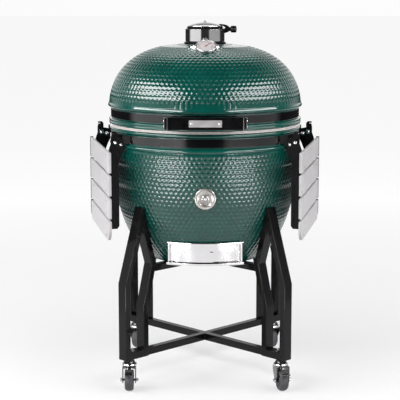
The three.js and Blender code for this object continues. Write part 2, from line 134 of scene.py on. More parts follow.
def extruded(name, outline, low, high):
    """A flat outline in X and Y, raised from low to high."""
    count = len(outline)
    verts = [(x, y, low) for x, y in outline] + [(x, y, high) for x, y in outline]
    faces = [list(range(count)), list(range(count, 2 * count))]
    for k in range(count):
        n = (k + 1) % count
        faces.append([k, n, count + n, count + k])
    return from_faces(name, verts, faces)


def sector(name, inner, outer, degrees, low, high):
    """A curved plate round the axis, centred on the front, between two plan angles."""
    start, end = (math.radians(d) for d in degrees)
    steps = max(2, round(math.degrees(end - start) / 2))
    turns = [start + (end - start) * k / steps for k in range(steps + 1)]
    outline = [(outer * math.sin(t), -outer * math.cos(t)) for t in turns]
    outline += [(inner * math.sin(t), -inner * math.cos(t)) for t in reversed(turns)]
    return extruded(name, outline, low, high)


def placed(obj, matrix):
    """Moves the mesh itself, so that the object stays at the origin."""
    obj.data.transform(matrix)
    if matrix.determinant() < 0:
        obj.data.flip_normals()
    return obj


STANDING = Matrix(((1, 0, 0, 0), (0, 0, 1, 0), (0, 1, 0, 0), (0, 0, 0, 1)))  # swaps Y and Z


def aimed(point, direction, across=None):
    """A matrix whose +Z points along direction, with its origin at point."""
    z = Vector(direction).normalized()
    x = Vector(across).normalized() if across else z.orthogonal().normalized()
    y = z.cross(x)
    return Matrix.Translation(Vector(point)) @ Matrix((x, y, z)).transposed().to_4x4()


def baked(obj):
    """Keeps what an object's modifiers make as its plain mesh."""
    graph = bpy.context.evaluated_depsgraph_get()
    result = bpy.data.meshes.new_from_object(obj.evaluated_get(graph))
    obj.modifiers.clear()
    obj.data = result
    return obj


def eased(obj, width, segments=2, degrees=30):
    """Rounds every edge sharper than the angle."""
    bevel = obj.modifiers.new("ease", "BEVEL")
    bevel.width = width
    bevel.segments = segments
    bevel.limit_method = "ANGLE"
    bevel.angle_limit = math.radians(degrees)
    return smooth(baked(obj))


def cut_away(obj, *tools):
    """Cuts closed tool objects out of an object, then removes the tools."""
    for tool in tools:
        boolean = obj.modifiers.new("cut", "BOOLEAN")
        boolean.operation = "DIFFERENCE"
        boolean.solver = "MANIFOLD"
        boolean.object = tool
    baked(obj)
    for tool in tools:
        bpy.data.objects.remove(tool)
    return obj


def joined(name, *objs):
    """Several finished meshes as one object."""
    shape = bmesh.new()
    for obj in objs:
        shape.from_mesh(obj.data)
        bpy.data.objects.remove(obj)
    mesh = bpy.data.meshes.new(name)
    shape.to_mesh(mesh)
    shape.free()
    return smooth(new_object(name, mesh))


def cad_copy(node, name=None):
    """A copy of a CAD node with its loose triangles joined into flat faces."""
    obj = new_object(name or node + "_fine", NODES[node].data.copy())
    shape = bmesh.new()
    shape.from_mesh(obj.data)
    bmesh.ops.remove_doubles(shape, verts=shape.verts, dist=0.02 * MM)
    bmesh.ops.dissolve_limit(
        shape, angle_limit=math.radians(0.5), verts=shape.verts, edges=shape.edges
    )
    shape.to_mesh(obj.data)
    shape.free()
    obj.data.materials.clear()
    return obj


def centre(node):
    low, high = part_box(node)
    return (low + high) / 2


# %% [markdown]
# ## Node helpers
#
# Shader and geometry trees are written the same way: one call adds a node, sets its options and links
# or sets its inputs.


# %% Node helpers
def node(tree, kind, inputs=None, **options):
    """Adds a node. An input is a value, or a socket of an earlier node to link from."""
    made = tree.nodes.new(kind)
    for key, value in options.items():
        setattr(made, key, value)
    for key, value in (inputs or {}).items():
        if isinstance(value, bpy.types.NodeSocket):
            tree.links.new(value, made.inputs[key])
        else:
            made.inputs[key].default_value = value
    return made


def math_node(tree, operation, a, b=0.0):
    return node(tree, "ShaderNodeMath", {0: a, 1: b}, operation=operation).outputs[0]


def geometry_tree(name, inputs):
    """A geometry node tree with named inputs. Returns the tree and its input sockets by name."""
    tree = bpy.data.node_groups.new(name, "GeometryNodeTree")
    tree.interface.new_socket("Geometry", in_out="INPUT", socket_type="NodeSocketGeometry")
    tree.interface.new_socket("Geometry", in_out="OUTPUT", socket_type="NodeSocketGeometry")
    for label, kind in inputs.items():
        tree.interface.new_socket(label, in_out="INPUT", socket_type="NodeSocket" + kind)
    entry = node(tree, "NodeGroupInput")
    return tree, {socket.name: socket for socket in entry.outputs if socket.name}


def close_tree(tree, geometry, material):
    """Ends a geometry tree: real mesh and one material."""
    real = node(tree, "GeometryNodeRealizeInstances", {0: geometry})
    painted = node(tree, "GeometryNodeSetMaterial", {0: real.outputs[0], "Material": material})
    node(tree, "NodeGroupOutput", {0: painted.outputs[0]})


def grown(obj, tree, values):
    """Runs a geometry tree on an object with the given inputs and keeps the mesh it makes."""
    modifier = obj.modifiers.new(tree.name, "NODES")
    modifier.node_group = tree
    for item in tree.interface.items_tree:
        if item.in_out == "INPUT" and item.name in values:
            modifier[item.identifier] = values[item.name]
    obj.update_tag()
    return baked(obj)


# %% [markdown]
# ## Finishes
#
# Every finish shares one recipe: two tones that drift over a few centimetres, a roughness that
# wanders with them, and a fine bump at the true scale of the surface, such as the orange peel of a
# powder coat or the drawn lines of brushed steel. `stretch` pulls the pattern out along an axis.


# %% Finishes
def varied(name, tones, patch, roughness, grain, depth, stretch=(1, 1, 1)):
    """A surface with two tones, a range of roughness, and a bump of the given grain and depth."""
    material = bpy.data.materials.new(name)
    material.use_nodes = True
    tree = material.node_tree
    shader = tree.nodes["Principled BSDF"]
    place = node(tree, "ShaderNodeTexCoord").outputs["Object"]
    pulled = node(tree, "ShaderNodeMapping", {"Vector": place, "Scale": stretch}).outputs[0]
    cloud = node(tree, "ShaderNodeTexNoise", {"Vector": place, "Scale": 1 / patch, "Detail": 3.0})
    fine = node(tree, "ShaderNodeTexNoise", {"Vector": pulled, "Scale": 1 / grain, "Detail": 2.0})
    mix = math_node(tree, "MULTIPLY_ADD", fine.outputs["Fac"], 0.4)
    mix.node.inputs[2].default_value = 0.0
    blend = math_node(tree, "MULTIPLY_ADD", cloud.outputs["Fac"], 0.6)
    tree.links.new(mix, blend.node.inputs[2])
    ramp = node(tree, "ShaderNodeValToRGB", {"Fac": blend})
    for stop, place_at, tone in zip(ramp.color_ramp.elements, (0.35, 0.65), tones):
        stop.position = place_at
        stop.color = (*tone, 1)
    wander = node(
        tree,
        "ShaderNodeMapRange",
        {0: blend, 1: 0.35, 2: 0.65, 3: roughness[0], 4: roughness[1]},
    )
    bump = node(
        tree, "ShaderNodeBump", {"Height": fine.outputs["Fac"], "Distance": depth, "Strength": 0.6}
    )
    tree.links.new(ramp.outputs[0], shader.inputs["Base Color"])
    tree.links.new(wander.outputs[0], shader.inputs["Roughness"])
    tree.links.new(bump.outputs[0], shader.inputs["Normal"])
    return material


def shader_of(material):
    return material.node_tree.nodes["Principled BSDF"]


def coated(material, weight, roughness):
    """Adds a clear coat over a finish."""
    shader_of(material).inputs["Coat Weight"].default_value = weight
    shader_of(material).inputs["Coat Roughness"].default_value = roughness
    return material


PITCH = 16.6 * MM  # distance of neighbouring hollows in a row
HOLLOW_REACH = 0.52 * PITCH
RIDGE_DEPTH = 1.4 * MM  # sharpens the ridges between the hollows


def glaze():
    """Green ceramic glaze: it pools darker in the hollows, and the ridges between them are sharp."""
    green = varied(
        "green_glaze",
        [(0.0006, 0.052, 0.041), (0.0012, 0.071, 0.055)],
        patch=60 * MM,
        roughness=(0.16, 0.24),
        grain=1.5 * MM,
        depth=0.015 * MM,
    )
    tree = green.node_tree
    base = shader_of(green).inputs["Base Color"]
    pooled = node(tree, "ShaderNodeAttribute", attribute_name="hollow").outputs["Fac"]
    deep = node(tree, "ShaderNodeMix", data_type="RGBA", blend_type="MULTIPLY")
    tree.links.new(pooled, deep.inputs[0])
    tree.links.new(base.links[0].from_socket, deep.inputs[6])
    deep.inputs[7].default_value = (0.55, 0.72, 0.72, 1)
    tree.links.new(deep.outputs[2], base)
    away = node(tree, "ShaderNodeAttribute", attribute_name="to_hollow").outputs["Fac"]
    share = math_node(tree, "DIVIDE", away, HOLLOW_REACH)
    fall = math_node(tree, "SUBTRACT", 1.0, math_node(tree, "MULTIPLY", share, share))
    bowl_shape = math_node(tree, "MAXIMUM", fall, 0.0)
    fine = shader_of(green).inputs["Normal"].links[0].from_socket
    ridges = node(
        tree,
        "ShaderNodeBump",
        {"Height": bowl_shape, "Distance": RIDGE_DEPTH, "Normal": fine},
        invert=True,
    )
    tree.links.new(ridges.outputs[0], shader_of(green).inputs["Normal"])
    shader_of(green).inputs["Specular IOR Level"].default_value = 0.12
    return coated(green, 1.0, 0.03)


# For each finish: its two tones, the patch in millimetres, the range of roughness, and the grain and
# the depth of the bump in millimetres.
RECIPES = {
    "fire_clay": ((0.42, 0.30, 0.18), (0.58, 0.45, 0.30), 40, (0.85, 0.95), 2, 0.4),
    "band_black": ((0.0012, 0.0012, 0.0018), (0.003, 0.003, 0.004), 50, (0.08, 0.13), 0.5, 0.004),
    "bracket_black": ((0.002, 0.002, 0.0025), (0.005, 0.0045, 0.0055), 20, (0.30, 0.42), 0.8, 0.03),
    "stand_frame": ((0.0012, 0.0012, 0.0015), (0.003, 0.0028, 0.0035), 60, (0.25, 0.35), 1.2, 0.004),
    "handle_black": ((0.001, 0.001, 0.0014), (0.003, 0.0028, 0.0035), 30, (0.25, 0.35), 0.6, 0.01),
    "polished_steel": ((0.60, 0.585, 0.590), (0.70, 0.685, 0.690), 60, (0.10, 0.20), 1.0, 0.004),
    "grid_steel": ((0.42, 0.40, 0.38), (0.62, 0.60, 0.58), 30, (0.22, 0.38), 0.8, 0.01),
    "spring_steel": ((0.38, 0.37, 0.38), (0.55, 0.54, 0.55), 15, (0.25, 0.35), 0.5, 0.01),
    "name_plate": ((0.62, 0.60, 0.61), (0.70, 0.68, 0.69), 30, (0.30, 0.42), 0.4, 0.01),
    "cast_iron": ((0.018, 0.017, 0.016), (0.045, 0.042, 0.040), 25, (0.65, 0.85), 1.4, 0.25),
    "felt_seal": ((0.46, 0.42, 0.41), (0.58, 0.54, 0.53), 12, (0.9, 1.0), 0.5, 0.35),
    "slat_grey": ((0.44, 0.428, 0.438), (0.52, 0.506, 0.518), 50, (0.38, 0.50), 1.2, 0.05),
    "dial_white": ((0.42, 0.405, 0.405), (0.47, 0.455, 0.455), 10, (0.35, 0.45), 0.3, 0.002),
    "dial_red": ((0.36, 0.09, 0.09), (0.44, 0.12, 0.11), 5, (0.4, 0.5), 0.3, 0.002),
    "caster_metal": ((0.006, 0.006, 0.007), (0.014, 0.013, 0.015), 15, (0.22, 0.34), 0.6, 0.015),
    "wheel_tread": ((0.040, 0.040, 0.044), (0.062, 0.062, 0.068), 14, (0.50, 0.65), 0.7, 0.04),
    "chrome": ((0.66, 0.65, 0.66), (0.74, 0.73, 0.74), 40, (0.05, 0.12), 1.0, 0.002),
}
METALS = ("polished_steel", "grid_steel", "spring_steel", "name_plate", "chrome")
STRETCHES = {"polished_steel": (0.15, 0.15, 3.0), "name_plate": (0.06, 1, 1), "slat_grey": (1, 0.03, 1)}
COATS = {"stand_frame": (0.28, 0.05), "handle_black": (0.5, 0.12), "caster_metal": (0.6, 0.1)}
SHEEN = {"stand_frame": 0.1, "band_black": 0.9, "handle_black": 0.1, "bracket_black": 0.12}


def finish(name, dark, light, patch, roughness, grain, depth):
    """The material of one recipe, made metallic, stretched or coated where it is listed as such."""
    stretch = STRETCHES.get(name, (1, 1, 1))
    material = varied(name, (dark, light), patch * MM, roughness, grain * MM, depth * MM, stretch)
    inputs = shader_of(material).inputs
    inputs["Metallic"].default_value = 1.0 if name in METALS else 0.0
    if name in SHEEN:
        inputs["Specular IOR Level"].default_value = SHEEN[name]
    return coated(material, *COATS[name]) if name in COATS else material


FINISHES = {"green_glaze": glaze()}
for name, recipe in RECIPES.items():
    FINISHES[name] = finish(name, *recipe)
CHROME = FINISHES.pop("chrome")
BARE_CLAY = FINISHES["fire_clay"]
for node_name, cad in NODES.items():
    cad.data.materials.clear()
    cad.data.materials.append(FINISHES[SLOT_OF[node_name]])
print(len(FINISHES), "finishes, one for each slot of the record")


def settle(obj, of_node, *stands_for, material=None):
    """Gives a finished piece the finish and body of a CAD node, and hides the CAD nodes it stands for."""
    flat = obj.modifiers.new("flat_faces", "WEIGHTED_NORMAL")
    flat.keep_sharp = True
    baked(obj)
    obj.data.materials.clear()
    obj.data.materials.append(material or FINISHES[SLOT_OF[of_node]])
    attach(obj, BODY_OF[of_node])
    if stands_for:
        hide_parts(*stands_for)
    return obj


# %% [markdown]
# ## Dimpled ceramic shells
#
# Both shells are cast in a mould whose face is covered with shallow round hollows, in staggered rows
# that keep the same pitch right up to the vent, so each row holds fewer hollows as the shell narrows.
# The rows could be a bump map, but their glints and their broken outline are what the eye sees first,
# so they are real. Each row of hollows is sampled by four rings of vertices that line up with it; a
# geometry tree then presses the surface in by its distance to the nearest hollow.

# %% Outline of the shells
ROW = PITCH * 0.866  # distance of the rows
PER_CELL = 4  # vertices across and up each hollow
HOLLOW_DEPTH = 2.1 * MM
WALL = 32 * MM


def swell(z, middle, half_width, half_height, power):
    """Half width of a superellipse at a height."""
    return half_width * (1 - (abs(z - middle) / half_height) ** power) ** (1 / power)


def bowl(z):
    return swell(z, 0.993, 0.333, 0.612, 3.1)


def dome(z):
    return swell(z, 0.890, 0.340, 0.280, 2.75)


def dome_inside(z):
    return swell(z, 0.890, 0.308, 0.252, 2.75)


def along_outline(outline, low, high):
    """Points every small step of the outline between two heights, each with its distance along it."""
    steps = 400
    travelled, points = 0.0, []
    for k in range(steps + 1):
        z = low + (high - low) * k / steps
        point = Vector((outline(z), z))
        if points:
            travelled += (point - points[-1][1]).length
        points.append((travelled, point))
    return points


def at_distance(points, distance):
    """The (radius, height) at a distance along an outline."""
    for (a, start), (b, end) in zip(points, points[1:]):
        if distance <= b:
            return start.lerp(end, (distance - a) / (b - a))
    return points[-1][1]


def dimpled_rings(outline, low, high):
    """Rings as (radius, height, count) for the rows of hollows, and the centre of every hollow."""
    points = along_outline(outline, low, high)
    rows = int(points[-1][0] / ROW)
    margin = (points[-1][0] - rows * ROW) / 2
    rings, hollows = [], []
    for row in range(rows):
        middle = margin + (row + 0.5) * ROW
        radius, height = at_distance(points, middle)
        count = round(2 * math.pi * radius / PITCH)
        for k in range(count):
            turn = 2 * math.pi * (k + 0.5 * (row % 2)) / count
            hollows.append((radius * math.sin(turn), -radius * math.cos(turn), height))
        for part in range(PER_CELL):
            r, z = at_distance(points, middle + ROW * (part - 1) / PER_CELL)
            rings.append((r, z, count * PER_CELL))
    return rings, hollows


# %% Skin the shells
def zipped(low, high):
    """Faces between two closed rings that may have different counts, both starting at the front."""
    if len(low) == len(high):
        count = len(low)
        return [[low[k], low[(k + 1) % count], high[(k + 1) % count], high[k]] for k in range(count)]
    faces, i, j = [], 0, 0
    while i < len(low) or j < len(high):
        a, b = low[i % len(low)], high[j % len(high)]
        if (i + 1) * len(high) <= (j + 1) * len(low):
            i += 1
            faces.append([a, low[i % len(low)], b])
        else:
            j += 1
            faces.append([a, high[j % len(high)], b])
    return faces


def ringed(name, rings):
    """A closed mesh through rings of (radius, height, count). A count of 1 is a pole."""
    verts, loops = [], []
    for radius, height, count in rings:
        loops.append([len(verts) + k for k in range(count)])
        for k in range(count):
            turn = 2 * math.pi * k / count
            verts.append((radius * math.sin(turn), -radius * math.cos(turn), height))
    faces = []
    for low, high in zip(loops, loops[1:] + loops[:1]):
        if len(low) > 1 or len(high) > 1:
            faces += [list(dict.fromkeys(face)) for face in zipped(low, high)]
    return from_faces(name, verts, [face for face in faces if len(face) > 2])


def press_tree():
    """Presses a surface in along its normal, deepest where the distance to a hollow is nought."""
    tree, given = geometry_tree(
        "press_hollows", {"Depth": "Float", "Reach": "Float", "Material": "Material"}
    )
    away = node(tree, "GeometryNodeInputNamedAttribute", {"Name": "to_hollow"}).outputs[0]
    share = math_node(tree, "DIVIDE", away, given["Reach"])
    square = math_node(tree, "MULTIPLY", share, share)
    hollow = math_node(tree, "MAXIMUM", math_node(tree, "SUBTRACT", 1.0, square), 0.0)
    inward = math_node(tree, "MULTIPLY", math_node(tree, "MULTIPLY", hollow, given["Depth"]), -1.0)
    normal = node(tree, "GeometryNodeInputNormal").outputs[0]
    push = node(tree, "ShaderNodeVectorMath", {0: normal, "Scale": inward}, operation="SCALE")
    kept = node(
        tree,
        "GeometryNodeStoreNamedAttribute",
        {"Geometry": given["Geometry"], "Name": "hollow", "Value": hollow},
        domain="POINT",
    )
    pressed = node(
        tree, "GeometryNodeSetPosition", {"Geometry": kept.outputs[0], "Offset": push.outputs[0]}
    )
    close_tree(tree, pressed.outputs[0], given["Material"])
    return tree


def press(obj, hollows):
    """Stores each vertex's distance to its nearest hollow and runs the press tree."""
    tree = kdtree.KDTree(len(hollows))
    for k, point in enumerate(hollows):
        tree.insert(point, k)
    tree.balance()
    distances = [tree.find(vertex.co)[2] for vertex in obj.data.vertices]
    obj.data.attributes.new("to_hollow", "FLOAT", "POINT").data.foreach_set("value", distances)
    values = {"Depth": HOLLOW_DEPTH, "Reach": HOLLOW_REACH, "Material": FINISHES["green_glaze"]}
    return grown(obj, press_tree(), values)


def glaze_outside(obj, outline, low, high):
    """Paints faces well inside the outline as bare clay and leaves the rest glazed."""
    obj.data.materials.clear()
    obj.data.materials.append(FINISHES["green_glaze"])
    obj.data.materials.append(BARE_CLAY)
    for face in obj.data.polygons:
        x, y, z = face.center
        limit = outline(min(max(z, low), high)) - 12 * MM
        face.material_index = 1 if math.hypot(x, y) < limit and face.normal.dot(Vector((x, y, 0))) < 0 else 0


def box_outline(left, right, low, high):
    return [(left, low), (right, low), (right, high), (left, high)]


def lip(middle, radius, start, end, count=10):
    """Points along a rounded lip, from one angle above the level to another."""
    angles = [math.radians(start + (end - start) * k / count) for k in range(count + 1)]
    return [(middle[0] + radius * math.cos(t), middle[1] + radius * math.sin(t)) for t in angles]


# %% Base shell
BASE_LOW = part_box("base_shell")[0].z
BASE_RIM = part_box("base_shell")[1].z
seat, rim = 0.3265, 0.3355
rows, base_hollows = dimpled_rings(bowl, BASE_LOW + 5 * MM, 0.812)
across = rows[-1][2]
base_lip = lip((0.3252, 0.8262), 0.0085, -70, 80)
rim_points = [base_lip[-1], (seat, 0.838), (seat, 0.871), (rim, 0.875), (rim, 0.881), (0.332, BASE_RIM)]
inside = [(bowl(z) - WALL, z) for z in (BASE_RIM, 0.80, 0.70, 0.60, 0.53, 0.48)]
foot = bowl(BASE_LOW)
below = rows[0][2]
rings = [(0, BASE_LOW, 1), (foot - 6 * MM, BASE_LOW, below), (foot - 1.5 * MM, BASE_LOW + 1.5 * MM, below)]
rings += rows + [(r, z, across) for r, z in base_lip]
rings += [(r, z, across) for r, z in rounded(rim_points + [(0.300, BASE_RIM)], 2.5 * MM)[4:-4]]
rings += [(r, z, 120) for r, z in inside]
bed = 0.455  # height of the inside of the bottom
bed_edge = bowl(bed) - WALL
rings += [(bed_edge - 6 * MM, bed + 2 * MM, 120), (bed_edge - 14 * MM, bed, 120), (0, bed, 1)]
base = press(ringed("base_shell_fine", rings), base_hollows)
print("base:", len(base_hollows), "hollows,", len(base.data.polygons), "faces before its openings")

# %% Openings of the base
DOOR_LOW, DOOR_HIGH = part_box("draft_frame")[0].z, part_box("draft_frame")[1].z
DOOR_BACK = 0.264  # inside radius of the ash door's back plate
DOOR_REACH = 27.5  # half of its plan angle, in degrees
port_low, port_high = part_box("port_plug")
PORT_MIDDLE = Vector((0, 0, (port_low.z + port_high.z) / 2))
reach = DOOR_REACH + 1
pocket = sector("pocket", DOOR_BACK - MM, 0.30, (-reach, reach), DOOR_LOW - MM, DOOR_HIGH + MM)
window = sector("window", 0.10, 0.30, (-22, 22), 0.460, 0.500)
forward = aimed(PORT_MIDDLE, (0, -1, 0), (1, 0, 0))
port_seat = placed(turned("port_seat", box_outline(0, 0.0365, 0.3185, 0.345), 48), forward)
port_bore = placed(turned("port_bore", box_outline(0, 0.027, 0.20, 0.34), 48), forward)
base = smooth(cut_away(base, pocket, window, port_seat, port_bore), 50)
settle(base, "base_shell", "base_shell")
glaze_outside(base, bowl, BASE_LOW, BASE_RIM)
print("base: cut to", len(base.data.polygons), "faces")

# %% Lid shell
LID_LOW, LID_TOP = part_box("lid_shell")[0].z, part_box("lid_shell")[1].z
CHIMNEY = 0.052
gauge = JOINTS["thermometer_turn"]
GAUGE_UP = Vector(gauge["axis"]).normalized()
rows, lid_hollows = dimpled_rings(dome, 0.9765, LID_TOP - 7 * MM)
across = rows[0][2]
flange = [(0.332, LID_LOW), (rim, 0.8965), (rim, 0.9015), (0.3328, 0.904), (rim, 0.9065), (rim, 0.9115),
          (0.333, 0.914), (seat, 0.9155), (seat, 0.950)]
lid_lip = lip((0.3350, 0.9575), 0.004, -75, 6, 6) + lip((0.3142, 0.9546), 0.0250, 9, 33, 6)
below_lip = rounded([(0.302, LID_LOW)] + flange + lid_lip[:1], 2 * MM)[4:-4]
rings = [(r, z, across) for r, z in below_lip + lid_lip]
rings += rows
crown = [(0.096, 1.1655), (0.084, LID_TOP), (CHIMNEY, LID_TOP), (CHIMNEY, 1.140)]
rings += [(r, z, 120) for r, z in rounded(crown, 2 * MM)]
rings += [(dome_inside(z), z, 120) for z in (1.138, 1.13, 1.11, 1.08, 1.04, 0.98, 0.92)]
rings += [(0.304, LID_LOW + MM, 120)]
lid = press(ringed("lid_shell_fine", rings), lid_hollows)
gauge_frame = aimed(Vector((0.003, -0.172, 1.163)), GAUGE_UP, (1, 0, 0))
seat_tool = placed(turned("seat_tool", box_outline(0, 0.0366, -0.0073, 0.06), 48), gauge_frame)
hole_tool = placed(turned("hole_tool", box_outline(0, 0.0055, -0.09, 0), 24), gauge_frame)
lid = smooth(cut_away(lid, seat_tool, hole_tool), 50)
settle(lid, "lid_shell", "lid_shell")
glaze_outside(lid, dome, 0.9, LID_TOP)
print("lid:", len(lid_hollows), "hollows,", len(lid.data.polygons), "faces")

# %% [markdown]
# ## Bands and seals
#
# Two bands of rolled flat bar clamp the ceramic near its rim, and carry the handle, the hinge and the
# shelves. A felt gasket is glued to each rim. All four are plain rings, turned from an outline.


# %% Bands and seals
def turned_like(node_name, outline, radius, sides=160, **options):
    """A finely turned piece in place of a CAD ring."""
    ring = turned(node_name + "_fine", rounded(outline, radius), sides)
    return settle(ring, node_name, node_name, **options)


for name in ("base_band", "lid_band"):
    low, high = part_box(name)
    inner, outer = high.x - 2.6 * MM, high.x
    turned_like(name, box_outline(inner, outer, low.z, high.z), 0.8 * MM)
for name in ("base_gasket", "lid_gasket"):
    low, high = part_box(name)
    turned_like(name, box_outline(0.305, 0.3335, low.z, high.z), 1.8 * MM)

# %% [markdown]
# ## Screws, rivets and bolts
#
# Fasteners repeat, so one geometry tree puts a head on every point of a bare mesh and turns it to
# face the way stored with the point. A rivet is a low dome; a bolt is a hexagon on a round washer.


# %% Fastener trees
def facing_points(name, spots):
    """A mesh of loose points with the direction that each faces."""
    mesh = bpy.data.meshes.new(name)
    mesh.from_pydata([tuple(point) for point, _ in spots], [], [])
    ways = mesh.attributes.new("facing", "FLOAT_VECTOR", "POINT")
    ways.data.foreach_set("vector", [value for _, way in spots for value in Vector(way).normalized()])
    return new_object(name, mesh)


def instanced(tree, points, instance):
    """Puts an instance on every point, with its +Z along the stored direction."""
    way = node(
        tree, "GeometryNodeInputNamedAttribute", {"Name": "facing"}, data_type="FLOAT_VECTOR"
    ).outputs[0]
    turn = node(tree, "FunctionNodeAlignRotationToVector", {"Vector": way}, axis="Z").outputs[0]
    return node(
        tree,
        "GeometryNodeInstanceOnPoints",
        {"Points": points, "Instance": instance, "Rotation": turn},
    ).outputs[0]


def rivet_tree():
    tree, given = geometry_tree("rivets", {"Radius": "Float", "Height": "Float", "Material": "Material"})
    ball = node(tree, "GeometryNodeMeshUVSphere", {"Segments": 20, "Rings": 12, "Radius": 1.0}).outputs[0]
    size = node(tree, "ShaderNodeCombineXYZ", {0: given["Radius"], 1: given["Radius"], 2: given["Height"]})
    flat = node(tree, "GeometryNodeTransform", {"Geometry": ball, "Scale": size.outputs[0]}).outputs[0]
    close_tree(tree, instanced(tree, given["Geometry"], flat), given["Material"])
    return tree


def bolt_tree():
    tree, given = geometry_tree("bolts", {"Radius": "Float", "Height": "Float", "Material": "Material"})
    wide = math_node(tree, "MULTIPLY", given["Radius"], 1.45)
    thin = math_node(tree, "MULTIPLY", given["Height"], 0.5)
    disc = node(
        tree, "GeometryNodeMeshCylinder", {"Vertices": 24, "Radius": wide, "Depth": thin}
    ).outputs["Mesh"]
    hexagon = node(
        tree,
        "GeometryNodeMeshCylinder",
        {"Vertices": 6, "Radius": given["Radius"], "Depth": given["Height"]},
    ).outputs["Mesh"]
    lift = node(tree, "ShaderNodeCombineXYZ", {2: math_node(tree, "MULTIPLY", given["Height"], 0.5)})
    raised = node(tree, "GeometryNodeTransform", {"Geometry": hexagon, "Translation": lift.outputs[0]})
    dome_head = node(
        tree, "GeometryNodeMeshUVSphere", {"Segments": 16, "Rings": 8, "Radius": 1.0}
    ).outputs[0]
    crown_size = node(
        tree,
        "ShaderNodeCombineXYZ",
        {0: math_node(tree, "MULTIPLY", given["Radius"], 0.82),
         1: math_node(tree, "MULTIPLY", given["Radius"], 0.82),
         2: math_node(tree, "MULTIPLY", given["Height"], 0.45)},
    )
    top = node(tree, "ShaderNodeCombineXYZ", {2: given["Height"]})
    crown = node(
        tree,
        "GeometryNodeTransform",
        {"Geometry": dome_head, "Translation": top.outputs[0], "Scale": crown_size.outputs[0]},
    )
    both = node(tree, "GeometryNodeJoinGeometry")
    for part in (crown.outputs[0], raised.outputs[0], disc):
        tree.links.new(part, both.inputs[0])
    close_tree(tree, instanced(tree, given["Geometry"], both.outputs[0]), given["Material"])
    return tree


RIVETS, BOLTS = rivet_tree(), bolt_tree()


def fasten(name, tree, of_node, spots, radius, height, material=CHROME):
    """Heads at the given (point, direction) spots, riding with a CAD node."""
    values = {"Radius": radius, "Height": height, "Material": material}
    heads = smooth(grown(facing_points(name, spots), tree, values), 32)
    return settle(heads, of_node, material=material)


# %% [markdown]
# ## Handle
#
# A square black bar runs between two stainless end brackets that reach back to the lid band, each with
# a black inlay. A plain plate is riveted to the face of the bar; the maker's marking is left out.

# %% Handle
settle(eased(cad_copy("handle_bar"), 1.6 * MM, 3), "handle_bar", "handle_bar")
for side in ("left", "right"):
    name = "handle_bracket_" + side
    settle(eased(cad_copy(name), 0.9 * MM, 2), name, name)
    low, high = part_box(name)
    border = 4 * MM
    inlay = box_outline(low.x + border, high.x - border, low.z + border, high.z - border)
    inlay = extruded(name + "_inlay", rounded(inlay, MM), -0.3 * MM, 1.5 * MM)
    placed(inlay, Matrix.Translation((0, low.y, 0)) @ STANDING)
    settle(eased(inlay, 0.2 * MM), name, material=FINISHES["handle_black"])
settle(eased(cad_copy("handle_plate"), 0.5 * MM, 2), "handle_plate", "handle_plate")
low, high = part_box("handle_plate")
rivets = [((x, low.y, centre("handle_plate").z), (0, -1, 0)) for x in (low.x + 8 * MM, high.x - 8 * MM)]
fasten("plate_rivets", RIVETS, "handle_plate", rivets, 3.2 * MM, 1.6 * MM)
low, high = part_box("handle_bar")
spots = []
for x, sign in ((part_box("handle_bracket_left")[0].x, -1), (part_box("handle_bracket_right")[1].x, 1)):
    spots += [((x, centre("handle_bar").y, z), (sign, 0, 0)) for z in (low.z + 11 * MM, high.z - 11 * MM)]
fasten("handle_bolts", RIVETS, "handle_bracket_right", spots, 4.5 * MM, 2.2 * MM)
print("handle bar", round((high.x - low.x) * 1000), "mm long")

# %% [markdown]
# ## Top vent
#
# A black socket stands on the lid with a polished sleeve round it. A chromed cap with a pointed crown
# tips up on a hinge at one side, where a black knob keeps the hand off the hot steel.

# %% Top vent
low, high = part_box("vent_base")
top_of_collar = 1.219
# The socket has the black finish. Its top rises past the sleeve into the gap under the cap, and the black band
# there is painted shade standing in for the dark gap.
socket = [
    (0.046, 1.150), (0.0515, 1.150), (0.0515, LID_TOP + 0.3 * MM), (0.0725, LID_TOP + 0.3 * MM),
    (0.0725, 1.1722), (0.0690, 1.1735), (0.0665, 1.176), (0.0665, top_of_collar), (0.062, top_of_collar),
    (0.062, 1.226), (0.057, 1.226), (0.057, 1.180), (0.046, 1.172),
]
socket = turned("vent_base_fine", rounded(socket, 0.8 * MM), 128)
settle(socket, "vent_base", "vent_base", material=FINISHES["bracket_black"])
sleeve = rounded(box_outline(0.0664, 0.0680, 1.1765, 1.2175), 0.5 * MM)
settle(turned("vent_sleeve", sleeve, 128), "vent_base", material=CHROME)
hinge = Vector(JOINTS["vent_cap_tilt"]["pos_m"])
ears = []
ear = [
    (0.0665, 1.203), (0.080, 1.207), (0.0875, 1.213), (0.0865, 1.2215), (0.0785, 1.2240), (0.0665, 1.2195),
]
for y0, y1 in ((-0.0135, -0.010), (0.010, 0.0135)):
    plate = extruded("ear", rounded(ear, 3 * MM, 4), y0, y1)
    ears.append(placed(plate, STANDING))
pin = turned("pin", rounded(box_outline(0, 0.004, -0.0155, 0.0155), MM), 24)
placed(pin, aimed(hinge, (0, 1, 0)))
settle(eased(joined("vent_ears", *ears, pin), 0.5 * MM), "vent_base", material=FINISHES["bracket_black"])
cap_outline = [
    (0, 1.2272), (0.0565, 1.2272), (0.0605, 1.2268), (0.0605, 1.2288), (0.057, 1.2305), (0.044, 1.2352),
    (0.030, 1.2386), (0.016, 1.2408), (0.008, 1.2418), (0.0045, 1.2432), (0.003, 1.2462), (0, 1.247),
]
settle(turned("vent_cap_fine", rounded(cap_outline, 1.2 * MM), 128), "vent_cap", "vent_cap", material=CHROME)
strap = [
    (0.050, 1.2350), (0.062, 1.2342), (0.074, 1.2318), (0.083, 1.2268), (0.0885, 1.2200), (0.0885, 1.2125),
    (0.0835, 1.2092), (0.0765, 1.2100), (0.0728, 1.2160), (0.0700, 1.2240), (0.060, 1.2292), (0.048, 1.2325),
]
strap_piece = extruded("strap", rounded(strap, 4 * MM, 4), -0.0085, 0.0085)
placed(strap_piece, STANDING)
